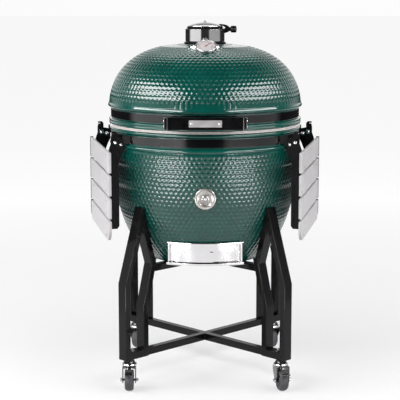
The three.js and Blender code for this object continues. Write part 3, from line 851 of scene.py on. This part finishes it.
bore = placed(turned("bore", box_outline(0, 0.0044, -0.03, 0.03), 24), aimed(hinge, (0, 1, 0)))
strap_piece = eased(cut_away(strap_piece, bore), 1.2 * MM, 3)
settle(strap_piece, "vent_cap", material=FINISHES["bracket_black"])
knob_outline = [
    (0, 0.006), (0.0070, 0.006), (0.0070, 0.0090), (0.0105, 0.0100), (0.0122, 0.0128), (0.0116, 0.0148),
    (0.0124, 0.0168), (0.0116, 0.0188), (0.0124, 0.0208), (0.0116, 0.0228), (0.0122, 0.0250),
    (0.0108, 0.0284), (0.0060, 0.0300), (0, 0.0302),
]
knob = placed(turned("vent_knob", rounded(knob_outline, 0.9 * MM), 40), aimed(hinge, (1, 0, 0.0)))
settle(knob, "vent_cap", material=FINISHES["handle_black"])
print("vent collar", round((high.z - low.z) * 1000), "mm high with its socket")

# %% [markdown]
# ## Thermometer
#
# A bimetal dial thermometer sits in a round seat near the top of the lid: a pressed steel case, a pale
# dial with a ring of ticks and a red arc, and a needle. The ticks are one small bar repeated by a tree.


# %% Thermometer
def tick_tree():
    tree, given = geometry_tree(
        "dial_ticks",
        {"Count": "Int", "Radius": "Float", "Length": "Float", "Width": "Float", "Material": "Material"},
    )
    marks = node(tree, "GeometryNodePoints", {"Count": given["Count"]}).outputs[0]
    index = node(tree, "GeometryNodeInputIndex").outputs[0]
    last = math_node(tree, "SUBTRACT", given["Count"], 1.0)
    share = math_node(tree, "DIVIDE", index, last)
    turn = math_node(tree, "MULTIPLY_ADD", share, math.radians(-270))
    turn.node.inputs[2].default_value = math.radians(135)
    bar = node(tree, "GeometryNodeMeshCube").outputs[0]
    size = node(tree, "ShaderNodeCombineXYZ", {0: given["Width"], 1: given["Length"], 2: 0.3 * MM})
    out = node(tree, "ShaderNodeCombineXYZ", {1: given["Radius"]})
    shaped = node(
        tree,
        "GeometryNodeTransform",
        {"Geometry": bar, "Translation": out.outputs[0], "Scale": size.outputs[0]},
    ).outputs[0]
    spin = node(tree, "ShaderNodeCombineXYZ", {2: turn}).outputs[0]
    ticks = node(
        tree, "GeometryNodeInstanceOnPoints", {"Points": marks, "Instance": shaped, "Rotation": spin}
    ).outputs[0]
    close_tree(tree, ticks, given["Material"])
    return tree


case_outline = [
    (0, -0.007), (0.0335, -0.007), (0.0360, -0.0045), (0.0360, 0.0052), (0.0345, 0.0070), (0.0325, 0.0066),
    (0.0317, 0.0034), (0, 0.0031),
]
case = turned("thermometer_case_fine", rounded(case_outline, 0.9 * MM), 96)
probe = turned("probe", rounded(box_outline(0, 0.004, -0.075, -0.006), 1.5 * MM), 24)
case = placed(joined("thermometer_case_fine", case, probe), gauge_frame)
settle(case, "thermometer_case", "thermometer_case", material=FINISHES["spring_steel"])
DIAL = 31.3 * MM
dial = turned("thermometer_dial_fine", rounded(box_outline(0, DIAL, 0.0034, 0.0048), 0.4 * MM), 64)
settle(placed(dial, gauge_frame), "thermometer_dial", "thermometer_dial")
TICKS = tick_tree()
TICK_RINGS = (("ticks_long", 10, 26.2, 4.0, 0.8), ("ticks_short", 46, 27.2, 2.0, 0.4))
for name, count, radius, length, width in TICK_RINGS:
    values = {"Count": count, "Radius": radius * MM, "Length": length * MM, "Width": width * MM,
              "Material": FINISHES["handle_black"]}
    ticks = grown(facing_points(name, []), TICKS, values)
    settle(placed(ticks, gauge_frame @ Matrix.Translation((0, 0, 4.85 * MM))), "thermometer_dial",
           material=FINISHES["handle_black"])
arc = sector("dial_arc", 20.2 * MM, 21.6 * MM, (55, 305), 4.7 * MM, 5.0 * MM)
settle(placed(arc, gauge_frame), "thermometer_dial", material=FINISHES["dial_red"])
needle_at = gauge_frame @ Matrix.Rotation(-0.7, 4, "Z")
blade_mm = [(-2.4, -7), (2.4, -7), (1.1, 4), (0.3, 24), (-0.3, 24), (-1.1, 4)]
blade = extruded("needle_blade", [(x * MM, y * MM) for x, y in blade_mm], 5.5 * MM, 6.1 * MM)
boss_outline = [(0, 0.0054), (0.0034, 0.0054), (0.0034, 0.0064), (0, 0.0068)]
boss = turned("needle_boss", rounded(boss_outline, 0.4 * MM), 24)
settle(placed(joined("needle_fine", blade, boss), needle_at), "thermometer_needle", "thermometer_needle")
print("dial", round(2 * DIAL * 1000, 1), "mm across")

# %% [markdown]
# ## Port plug
#
# The round port in the bowl is closed by a spun stainless cup: a flat flange, a dished middle and a
# centre bolt.

# %% Port plug
plug_outline = [
    (0, 0.2966), (0.026, 0.2966), (0.026, 0.3188), (0.0352, 0.3188), (0.0355, 0.3225), (0.0340, 0.3248),
    (0.0270, 0.3254), (0.0245, 0.3246), (0.0232, 0.3222), (0.0215, 0.3212), (0.0120, 0.3212),
    (0.0108, 0.3222), (0.0100, 0.3262),
    (0.0085, 0.3272), (0, 0.3274),
]
plug = placed(turned("port_plug_fine", rounded(plug_outline, 1.1 * MM), 96), forward)
settle(plug, "port_plug", "port_plug", material=FINISHES["grid_steel"])
bolt_spot = [((0, -0.3272, PORT_MIDDLE.z), (0, -1, 0))]
fasten("port_bolt", BOLTS, "port_plug", bolt_spot, 6.2 * MM, 5.0 * MM, FINISHES["spring_steel"])

# %% [markdown]
# ## Ash door
#
# A curved frame of polished sheet carries two curved slides: a perforated ash screen and a plain
# cover. The perforations are one square tile with a round hole, repeated round the curve by a tree
# whose inputs set how many tiles there are and how far apart.


# %% Ash door
def screen_tree():
    tree, given = geometry_tree(
        "perforated_sheet",
        {"Across": "Int", "Up": "Int", "Step": "Float", "Pitch": "Float", "Start": "Float", "Low": "Float",
         "Material": "Material"},
    )
    total = math_node(tree, "MULTIPLY", given["Across"], given["Up"])
    marks = node(tree, "GeometryNodePoints", {"Count": total}).outputs[0]
    index = node(tree, "GeometryNodeInputIndex").outputs[0]
    column = math_node(tree, "MODULO", index, given["Across"])
    row = math_node(tree, "FLOOR", math_node(tree, "DIVIDE", index, given["Across"]))
    turn = math_node(tree, "ADD", math_node(tree, "MULTIPLY", column, given["Step"]), given["Start"])
    height = math_node(tree, "ADD", math_node(tree, "MULTIPLY", row, given["Pitch"]), given["Low"])
    spin = node(tree, "ShaderNodeCombineXYZ", {2: turn}).outputs[0]
    place = node(tree, "ShaderNodeCombineXYZ", {2: height}).outputs[0]
    lifted = node(tree, "GeometryNodeSetPosition", {"Geometry": marks, "Offset": place}).outputs[0]
    tiles = node(
        tree,
        "GeometryNodeInstanceOnPoints",
        {"Points": lifted, "Instance": given["Geometry"], "Rotation": spin},
    ).outputs[0]
    close_tree(tree, tiles, given["Material"])
    return tree


def holed_tile(name, radius, step, pitch, thick, hole):
    """One tile of a curved sheet, centred on the front, with a round hole through it."""
    half = radius * math.tan(step / 2)
    sides = 16
    verts, faces = [], []
    for depth in (0, thick):
        for k in range(sides):
            turn = 2 * math.pi * k / sides
            verts.append((hole * math.cos(turn), -radius - depth, hole * math.sin(turn)))
        for k in range(sides):
            turn = 2 * math.pi * k / sides
            reach = 1 / max(abs(math.cos(turn)), abs(math.sin(turn)))
            wide = half * (radius + depth) / radius * reach
            tall = pitch / 2 * reach
            verts.append((wide * math.cos(turn), -radius - depth, tall * math.sin(turn)))
    for k in range(sides):
        n = (k + 1) % sides
        faces.append([k, n, sides + n, sides + k])
        faces.append([2 * sides + k, 3 * sides + k, 3 * sides + n, 2 * sides + n])
        faces.append([k, 2 * sides + k, 2 * sides + n, n])
    mesh = bpy.data.meshes.new(name)
    mesh.from_pydata(verts, [], faces)
    return new_object(name, mesh)


frame_piece = eased(cad_copy("draft_frame"), 0.5 * MM, 2, 40)
settle(smooth(frame_piece, 40), "draft_frame", "draft_frame", material=CHROME)
door_low, door_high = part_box("draft_door")
inner, outer = DOOR_BACK + 5.6 * MM, DOOR_BACK + 7.4 * MM
door = sector("draft_door_fine", inner, outer, (-19, 6), door_low.z, door_high.z)
pull_turn = math.radians(4.5)
pull_at = Matrix.Translation((0, -DOOR_BACK - 14 * MM, (door_low.z + door_high.z) / 2))
pull_outline = rounded(box_outline(-5 * MM, 5 * MM, 0, 8 * MM), MM)
pull = eased(extruded("pull", pull_outline, -8 * MM, 8 * MM), 1.2 * MM, 3)
placed(pull, Matrix.Rotation(pull_turn, 4, "Z") @ pull_at)
door = eased(joined("draft_door_fine", door, pull), 0.4 * MM, 2, 50)
settle(door, "draft_door", "draft_door", material=CHROME)
screen_low, screen_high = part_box("ash_screen")
low, high = screen_low.z, screen_high.z
columns, rows_up = 11, 5
left, right, border = -23, 1, 2.0  # the ends of the screen and its plain border, in degrees
rim = 6 * MM
step = math.radians((right - left - 2 * border) / columns)
pitch = (high - low - 2 * rim) / rows_up
inner, outer = DOOR_BACK + 2.4 * MM, DOOR_BACK + 3.6 * MM
tile = holed_tile("ash_screen_holes", inner, step, pitch, outer - inner, 3.2 * MM)
start = math.radians(left + border) + step / 2
values = {"Across": columns, "Up": rows_up, "Step": step, "Pitch": pitch, "Start": start,
          "Low": low + rim + pitch / 2, "Material": FINISHES["polished_steel"]}
holes = grown(tile, screen_tree(), values)
middle = (left + border, right - border)
borders = [((left, left + border), low, high), ((right - border, right), low, high),
           (middle, low, low + rim), (middle, high - rim, high)]
edges = [sector("edge", inner, outer, span, foot, top) for span, foot, top in borders]
settle(joined("ash_screen_fine", holes, *edges), "ash_screen", "ash_screen")
spots = []
heights = (DOOR_LOW + 10 * MM, DOOR_HIGH - 10 * MM)
for degrees in (-26.2, 26.2):
    way = Vector((math.sin(math.radians(degrees)), -math.cos(math.radians(degrees)), 0))
    spots += [(way * (DOOR_BACK + 2.2 * MM) + UP * z, way) for z in heights]
fasten("draft_screws", RIVETS, "draft_frame", spots, 3.6 * MM, 2.2 * MM)
print(columns * rows_up, "holes in the ash screen")

# %% [markdown]
# ## Stand
#
# Four leg frames of rectangular tube, each welded flat and then set on the diagonal, are tied by two
# crosses of square tube. Tube has a rolled corner of a few millimetres, and that corner is what draws
# the thin bright line along each leg, so every frame is copied from the CAD and its edges rolled.

# %% Stand
CORNERS = ("front_left", "front_right", "rear_right", "rear_left")
for corner in CORNERS:
    settle(eased(cad_copy("leg_" + corner), 2.2 * MM, 3), "leg_" + corner, "leg_" + corner)
for name in ("lower_cross_brace", "upper_cross_brace"):
    settle(eased(cad_copy(name), 1.8 * MM, 3), name, name)
spots = []
for corner in CORNERS:
    middle = Vector(JOINTS["swivel_" + corner]["pos_m"])
    out = Vector((middle.x, middle.y, 0)).normalized()
    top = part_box("leg_" + corner)[0].z + 27 * MM
    spots += [(Vector((middle.x, middle.y, top)) - out * 12 * MM, UP)]
fasten("caster_nuts", BOLTS, "lower_cross_brace", spots, 6.5 * MM, 6.0 * MM, FINISHES["spring_steel"])

# %% [markdown]
# ## Casters
#
# Each caster is a pressed fork on a ball race, with a moulded wheel on a plain axle and, at the front,
# a brake pedal. The swivel and spin joints of the frame say where each wheel is and which way it faces.

# %% Casters
WHEEL = 38 * MM
wheel_outline = rounded(
    [(0.0065, -0.0135), (0.0120, -0.0150), (0.0150, -0.0110), (0.0240, -0.0105), (0.0275, -0.0150),
     (0.0330, -0.0145), (0.0368, -0.0095), (WHEEL, -0.0030), (WHEEL, 0.0030), (0.0368, 0.0095),
     (0.0330, 0.0145), (0.0275, 0.0150), (0.0240, 0.0105), (0.0150, 0.0110), (0.0120, 0.0150),
     (0.0065, 0.0135)], 1.6 * MM)
race_outline = rounded(
    [(0.0195, 0.0862), (0.0248, 0.0850), (0.0262, 0.0880), (0.0255, 0.0925), (0.0225, 0.0945),
     (0.0195, 0.0940)], 1.2 * MM)
for corner in CORNERS:
    spin = JOINTS["spin_" + corner]
    axle = aimed(spin["pos_m"], spin["axis"], (0, 0, 1))
    wheel = placed(turned("wheel_" + corner, wheel_outline, 64), axle)
    settle(wheel, "caster_wheel_" + corner, "caster_wheel_" + corner)
    fork = "caster_fork_" + corner
    settle(eased(cad_copy(fork), 0.7 * MM, 2), fork, fork)
    pivot = Vector(JOINTS["swivel_" + corner]["pos_m"])
    upright = Matrix.Translation((pivot.x, pivot.y, 0))
    settle(placed(turned("caster_race_" + corner, race_outline, 48), upright), fork, material=CHROME)
    way = Vector(spin["axis"])
    ends = [(Vector(spin["pos_m"]) + way * side * 26 * MM, way * side) for side in (-1, 1)]
    fasten("axle_nuts_" + corner, BOLTS, fork, ends, 5.2 * MM, 4.2 * MM, FINISHES["spring_steel"])
for corner in CORNERS[:2]:
    name = "caster_brake_" + corner
    settle(eased(cad_copy(name), 1.2 * MM, 3), name, name)
print("wheels", round(2 * WHEEL * 1000), "mm across")

# %% [markdown]
# ## Folding shelves
#
# Each side shelf is four planks on two pressed arms that hang from cast hinges. The planks are satin
# composite with eased edges, and the front end of each wears a black cap, made here from the last few
# millimetres of the plank, swollen by the cap's wall. The lowest plank has one rounded corner at the
# back, and a thin recessed web closes the slots of each arm.


# %% Folding shelves
def plank_cap(node_name, way, length, wall):
    """The end of a CAD plank beyond a plane, swollen a little, as a cap."""
    cap = cad_copy(node_name, node_name + "_cap")
    shape = bmesh.new()
    shape.from_mesh(cap.data)
    low = min(vertex.co.dot(way) for vertex in shape.verts)
    plane = way * (low + length)
    geometry = shape.verts[:] + shape.edges[:] + shape.faces[:]
    bmesh.ops.bisect_plane(shape, geom=geometry, plane_co=plane, plane_no=way, clear_outer=True)
    bmesh.ops.holes_fill(shape, edges=[edge for edge in shape.edges if edge.is_boundary])
    bmesh.ops.recalc_face_normals(shape, faces=shape.faces)
    shape.normal_update()
    for vertex in shape.verts:
        vertex.co += vertex.normal * wall
    shape.to_mesh(cap.data)
    shape.free()
    return cap


def fold_axes(side):
    """Along the planks towards the back, and outwards, for one shelf."""
    along = Vector(JOINTS["shelf_" + side + "_fold"]["axis"]).normalized()
    along = along if along.y > 0 else -along
    out = along.cross(UP)
    return along, out if side == "right" else -out


def axes_matrix(x, y, z):
    """A turn that takes the three axes to the given directions."""
    return Matrix((x, y, z)).transposed().to_4x4()


def narrowed(plank, gap):
    """Moves the long edges of a plank inwards, to leave the shadow between two planks."""
    low = min(vertex.co.z for vertex in plank.data.vertices)
    high = max(vertex.co.z for vertex in plank.data.vertices)
    for vertex in plank.data.vertices:
        vertex.co.z += gap if vertex.co.z < (low + high) / 2 else -gap
    return plank


def corner_cut(plank, side, radius):
    """Rounds the lower corner of a plank at its far end."""
    along = fold_axes(side)[0]
    across = along.cross(UP)
    points = [vertex.co for vertex in plank.data.vertices]
    end = max(point.dot(along) for point in points)
    low = min(point.z for point in points)
    middle = sum(point.dot(across) for point in points) / len(points)
    turns = [math.radians(7.5 * k) for k in range(13)]
    outline = [(end - radius + radius * math.sin(t), low + radius - radius * math.cos(t)) for t in turns]
    outline += [(end + 0.01, low + radius), (end + 0.01, low - 0.01), (end - radius, low - 0.01)]
    tool = extruded("corner_tool", outline, middle - 0.05, middle + 0.05)
    return cut_away(plank, placed(tool, axes_matrix(along, UP, across)))


for side in ("left", "right"):
    along, out = fold_axes(side)
    for index in range(1, 5):
        name = f"shelf_slat_{side}_{index}"
        plank = narrowed(cad_copy(name), 1.6 * MM)
        if index == 4:
            plank = corner_cut(plank, side, 40 * MM)
        settle(eased(plank, 2.2 * MM, 3, 50), name, name)
        cap = joined(name + "_caps", plank_cap(name, -along, 10 * MM, 1.19 * MM))
        settle(eased(cap, 1.2 * MM, 2, 50), name, material=FINISHES["bracket_black"])
    for end in ("front", "rear"):
        for kind, width in (("bracket", 1.2), ("arm", 0.7)):
            name = f"shelf_{kind}_{side}_{end}"
            settle(eased(cad_copy(name), width * MM, 2), name, name)
        arm = NODES[f"shelf_arm_{side}_{end}"]
        front = min((arm.matrix_world @ vertex.co).dot(along) for vertex in arm.data.vertices)
        low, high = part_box(f"shelf_arm_{side}_{end}")
        hinge_at = Vector(JOINTS["shelf_" + side + "_fold"]["pos_m"])
        inner, outer = hinge_at.dot(out) - 7 * MM, hinge_at.dot(out) + 8 * MM
        web = box_outline(inner, outer, low.z + 8 * MM, high.z - 60 * MM)
        web = extruded(f"arm_web_{side}_{end}", web, 0, 1.2 * MM)
        behind_face = Matrix.Translation(along * (front + 1.6 * MM))
        settle(placed(web, behind_face @ axes_matrix(out, UP, along)), f"shelf_arm_{side}_{end}")

# %% Shelf bolts
REAR_ARM = 0.3513  # distance from the front arm to the rear one
screws = {"left": [], "right": []}
for side in screws:
    along, out = fold_axes(side)
    for end, step in (("front", 0), ("rear", REAR_ARM)):
        hinge_at = Vector(JOINTS["shelf_" + side + "_fold"]["pos_m"]) + along * step
        casting = f"shelf_bracket_{side}_{end}"
        face = hinge_at - along * 13.2 * MM
        fasten(f"hinge_bolt_{side}_{end}", BOLTS, casting, [(face, -along)], 6.0 * MM, 5.0 * MM)
        lower = hinge_at - along * 5.2 * MM - UP * 8 * MM - out * 20 * MM
        fasten(f"casting_bolts_{side}_{end}", BOLTS, casting, [(lower, -along)], 5.0 * MM, 4.0 * MM)
        for index in range(1, 5):
            low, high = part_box(f"shelf_slat_{side}_{index}")
            rise = (low.z + high.z) / 2 - hinge_at.z
            screws[side] += [(hinge_at + out * 30.2 * MM + UP * (rise + dz * MM), out) for dz in (-20, 20)]
for side, spots in screws.items():
    fasten("plank_screws_" + side, RIVETS, f"shelf_slat_{side}_1", spots, 3.4 * MM, 1.2 * MM,
           FINISHES["spring_steel"])
print(sum(map(len, screws.values())), "screws hold the planks to the arms")

# %% [markdown]
# ## Rear hinge
#
# The heavy lid is balanced by two torsion springs wound round the hinge pin. A coil follows a rule, so
# a tree draws it as a spiral with a round wire.


# %% Rear hinge
def coil_tree():
    tree, given = geometry_tree(
        "coil",
        {"Turns": "Float", "Radius": "Float", "Length": "Float", "Wire": "Float", "Material": "Material"},
    )
    spiral = node(
        tree,
        "GeometryNodeCurveSpiral",
        {"Resolution": 28, "Rotations": given["Turns"], "Start Radius": given["Radius"],
         "End Radius": given["Radius"], "Height": given["Length"]},
    ).outputs[0]
    wire = node(
        tree, "GeometryNodeCurvePrimitiveCircle", {"Resolution": 10, "Radius": given["Wire"]}
    ).outputs[0]
    tube = node(
        tree, "GeometryNodeCurveToMesh", {"Curve": spiral, "Profile Curve": wire, "Fill Caps": True}
    ).outputs[0]
    close_tree(tree, tube, given["Material"])
    return tree


COIL = coil_tree()
hinge_pin = Vector(JOINTS["lid_hinge"]["pos_m"])
for side in ("left", "right"):
    name = "lid_hinge_spring_" + side
    low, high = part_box(name)
    wire = 2.1 * MM
    length = high.x - low.x - 2 * wire
    values = {"Turns": length / (2 * wire + 0.4 * MM), "Radius": (high.z - low.z) / 2 - wire,
              "Length": length, "Wire": wire, "Material": FINISHES["spring_steel"]}
    coil = grown(facing_points(name + "_fine", []), COIL, values)
    placed(coil, aimed((low.x + wire, hinge_pin.y, hinge_pin.z), (1, 0, 0)))
    settle(smooth(coil, 60), name, name)
for name in ("lid_hinge_base", "lid_hinge_upper"):
    settle(eased(cad_copy(name), 1.0 * MM, 2), name, name)
base_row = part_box("lid_hinge_base")[0].z + 16 * MM
HINGE_ROWS = (("lid_hinge_base", base_row, (-60, -20, 20, 60)), ("lid_hinge_upper", 0.932, (-46, 0, 46)))
for name, z, xs in HINGE_ROWS:
    heads = [((x * MM, 0.352, z), (0, 1, 0)) for x in xs]
    fasten(name + "_bolts", BOLTS, name, heads, 5.5 * MM, 4.5 * MM)
print("springs wound from", round(2 * wire * 1000, 1), "mm wire")

# %% [markdown]
# ## Inside the egg
#
# A fire-clay box stands in the bowl with a ring on top of it; the charcoal grate lies in the box and
# the cooking grid on the ring. They show when the lid opens. The grid is welded from round bars, each
# as long as the ring allows, which one tree works out.


# %% Inside the egg
def grid_tree():
    tree, given = geometry_tree(
        "grid_bars",
        {"Bars": "Int", "Pitch": "Float", "Reach": "Float", "Wire": "Float", "Material": "Material"},
    )
    marks = node(tree, "GeometryNodePoints", {"Count": given["Bars"]}).outputs[0]
    index = node(tree, "GeometryNodeInputIndex").outputs[0]
    middle = math_node(tree, "MULTIPLY", math_node(tree, "SUBTRACT", given["Bars"], 1.0), 0.5)
    x = math_node(tree, "MULTIPLY", math_node(tree, "SUBTRACT", index, middle), given["Pitch"])
    square = math_node(tree, "MULTIPLY", given["Reach"], given["Reach"])
    half = math_node(tree, "SQRT", math_node(tree, "SUBTRACT", square, math_node(tree, "MULTIPLY", x, x)))
    place = node(tree, "ShaderNodeCombineXYZ", {0: x}).outputs[0]
    spread = node(tree, "GeometryNodeSetPosition", {"Geometry": marks, "Offset": place}).outputs[0]
    bar = node(
        tree, "GeometryNodeMeshCylinder", {"Vertices": 12, "Radius": given["Wire"], "Depth": 2.0}
    ).outputs["Mesh"]
    lying = node(
        tree, "GeometryNodeTransform", {"Geometry": bar, "Rotation": (math.radians(90), 0, 0)}
    ).outputs[0]
    long = node(tree, "ShaderNodeCombineXYZ", {0: 1.0, 1: half, 2: 1.0}).outputs[0]
    bars = node(
        tree, "GeometryNodeInstanceOnPoints", {"Points": spread, "Instance": lying, "Scale": long}
    ).outputs[0]
    close_tree(tree, bars, given["Material"])
    return tree


low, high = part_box("cooking_grid")
level = low.z + 4 * MM
values = {"Bars": 25, "Pitch": 20 * MM, "Reach": 0.260, "Wire": 2.6 * MM, "Material": FINISHES["grid_steel"]}
bars = grown(facing_points("grid_bars", []), grid_tree(), values)
placed(bars, Matrix.Translation((0, 0, level + 1.2 * MM)))
hoop = box_outline(0.2562, 0.2636, low.z + 0.4 * MM, high.z - 0.4 * MM)
hoop_ring = turned("hoop", rounded(hoop, 3 * MM, 4), 120)
ties = []
for y in (-0.13, 0.0, 0.13):
    half = math.sqrt(0.258**2 - y**2)
    tie = turned("tie", rounded(box_outline(0, 2.4 * MM, -half, half), MM), 12)
    ties.append(placed(tie, aimed((0, y, level - 1.6 * MM), (1, 0, 0))))
settle(joined("cooking_grid_fine", bars, hoop_ring, *ties), "cooking_grid", "cooking_grid")
settle(eased(cad_copy("charcoal_grate"), 1.2 * MM, 2), "charcoal_grate", "charcoal_grate")
settle(eased(cad_copy("firebox"), 3 * MM, 3, 35), "firebox", "firebox")
low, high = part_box("fire_ring")
ring_outline = [(0.262, low.z), (0.276, high.z), (0.252, high.z), (0.240, low.z)]
turned_like("fire_ring", ring_outline, 3 * MM, 96)
print("cooking grid", round(2 * 0.2636 * 1000), "mm across")

# %% [markdown]
# ## Stage
#
# A pale floor and a soft studio: two wide panels high at the sides of the front, two low narrow ones
# that only make glints near the floor, and one overhead at the back. The surround is bright behind the
# grill, bright low down at the sides, and dim in front. The dim part is what draws the dark stripe down
# the middle of each polished or glazed surface.

# %% Stage
NEAR_FLOOR = 4.3  # the floor beyond this is not seen in reflections, as in a small studio
FAR_FLOOR = 60.0


def floor_ring(name, inner, outer):
    """A flat ring of floor, or a disc where the inner radius is nought."""
    count = 64
    turns = [2 * math.pi * k / count for k in range(count)]
    verts = [(outer * math.cos(t), outer * math.sin(t), 0) for t in turns]
    faces = [list(range(count))]
    if inner:
        verts += [(inner * math.cos(t), inner * math.sin(t), 0) for t in turns]
        faces = [[k, (k + 1) % count, count + (k + 1) % count, count + k] for k in range(count)]
    mesh = bpy.data.meshes.new(name)
    mesh.from_pydata(verts, [], faces)
    return new_object(name, mesh)


def backdrop_wall(name, radius, height):
    """A wall all round, for views from a low camera."""
    count = 64
    turns = [2 * math.pi * k / count for k in range(count)]
    verts = [(radius * math.cos(t), radius * math.sin(t), z) for z in (-0.01, height) for t in turns]
    faces = [[k, (k + 1) % count, count + (k + 1) % count, count + k] for k in range(count)]
    mesh = bpy.data.meshes.new(name)
    mesh.from_pydata(verts, [], faces)
    return new_object(name, mesh)


def pale_floor():
    """White floor with painted light: it glows more with distance from the grill, standing in for the light on a
    lit sweep.
    """
    pale = varied("studio_floor", [(0.34, 0.336, 0.34), (0.35, 0.346, 0.35)], 2.0, (0.85, 0.95), 0.4, 0.0)
    tree = pale.node_tree
    place = node(tree, "ShaderNodeTexCoord").outputs["Object"]
    distance = node(tree, "ShaderNodeVectorMath", {0: place}, operation="LENGTH").outputs["Value"]
    # painted light: the floor's glow is dim near the grill and bright far off
    painted_floor_glow = node(tree, "ShaderNodeMapRange", {0: distance, 1: 0.5, 2: 4.0, 3: 0.58, 4: 0.90})
    tree.links.new(painted_floor_glow.outputs[0], shader_of(pale).inputs["Emission Strength"])
    shader_of(pale).inputs["Emission Color"].default_value = (1, 1, 1, 1)
    shader_of(pale).inputs["Specular IOR Level"].default_value = 0.0
    return pale


pale = pale_floor()
near_floor = floor_ring("near_floor", 0, NEAR_FLOOR)
far_floor = floor_ring("far_floor", NEAR_FLOOR, FAR_FLOOR)
wall = backdrop_wall("backdrop_wall", FAR_FLOOR, 40)
for obj in (near_floor, far_floor, wall):
    obj.data.materials.append(pale)
for obj in (far_floor, wall):
    obj.visible_glossy = False
    obj.visible_diffuse = False


def panel(name, at, towards, width, height, radiance):
    """A soft box: its power follows from how bright its face is."""
    lamp = bpy.data.lights.new(name, "AREA")
    lamp.shape = "RECTANGLE"
    lamp.size = width
    lamp.size_y = height
    lamp.energy = radiance * math.pi * width * height
    obj = bpy.data.objects.new(name, lamp)
    bpy.context.scene.collection.objects.link(obj)
    obj.location = at
    obj.rotation_euler = (Vector(towards) - Vector(at)).to_track_quat("-Z", "Y").to_euler()
    return obj


panel("left_panel", (-2.1, -1.25, 2.10), (0, 0, 0.95), 3.2, 0.70, 15.0)
panel("right_panel", (2.1, -1.25, 2.10), (0, 0, 0.95), 3.2, 0.70, 11.0)
panel("top_panel", (0, 1.6, 3.4), (0, 0, 0.8), 2.2, 1.0, 2.0)
for name, x, radiance in (("left_glint", -1.45, 20.0), ("right_glint", 1.45, 16.0)):
    glint = panel(name, (x, -1.8, 0.27), (0, 0, 0.45), 1.6, 0.24, radiance)
    glint.visible_diffuse = False

world = bpy.data.worlds.new("studio")
world.use_nodes = True
bpy.context.scene.world = world
tree = world.node_tree
surround = tree.nodes["Background"]
direction = node(tree, "ShaderNodeTexCoord").outputs["Generated"]
parts = node(tree, "ShaderNodeSeparateXYZ", {0: direction}).outputs


def between(value, start, end, low, high):
    """Goes from low to high as the value goes from start to end."""
    return node(tree, "ShaderNodeMapRange", {0: value, 1: start, 2: end, 3: low, 4: high}).outputs[0]


def product(*factors):
    result = factors[0]
    for factor in factors[1:]:
        result = math_node(tree, "MULTIPLY", result, factor)
    return result


behind = between(parts["Y"], 0.25, 0.75, 0.0, 1.0)
fading = between(parts["Z"], 0.20, 0.60, 1.0, 0.2)
above_floor = between(parts["Z"], 0.0, 0.08, 0.0, 1.0)
lit_wall = product(behind, fading, above_floor)
aside = between(math_node(tree, "ABSOLUTE", parts["X"]), 0.36, 0.46, 0.0, 1.0)
ahead = between(parts["Y"], 0.05, 0.25, 1.0, 0.0)
low_down = between(parts["Z"], 0.15, 0.30, 1.0, 0.0)
left_more = between(parts["X"], -0.2, 0.2, 0.95, 0.42)
side_floor = product(aside, ahead, low_down, left_more)
shade = math_node(tree, "ADD", math_node(tree, "ADD", lit_wall, side_floor), 0.03)
tree.links.new(shade, surround.inputs["Color"])

# %% Camera
lens = bpy.data.cameras.new("camera")
lens.lens = 118.1
lens.sensor_width = 36
camera = bpy.data.objects.new("camera", lens)
bpy.context.scene.collection.objects.link(camera)
camera.location = (-0.0174, -4.6, 1.360)
camera.rotation_euler = (math.radians(90 - 9.2), 0, 0)
bpy.context.scene.camera = camera
bpy.context.scene.view_settings.view_transform = "Standard"
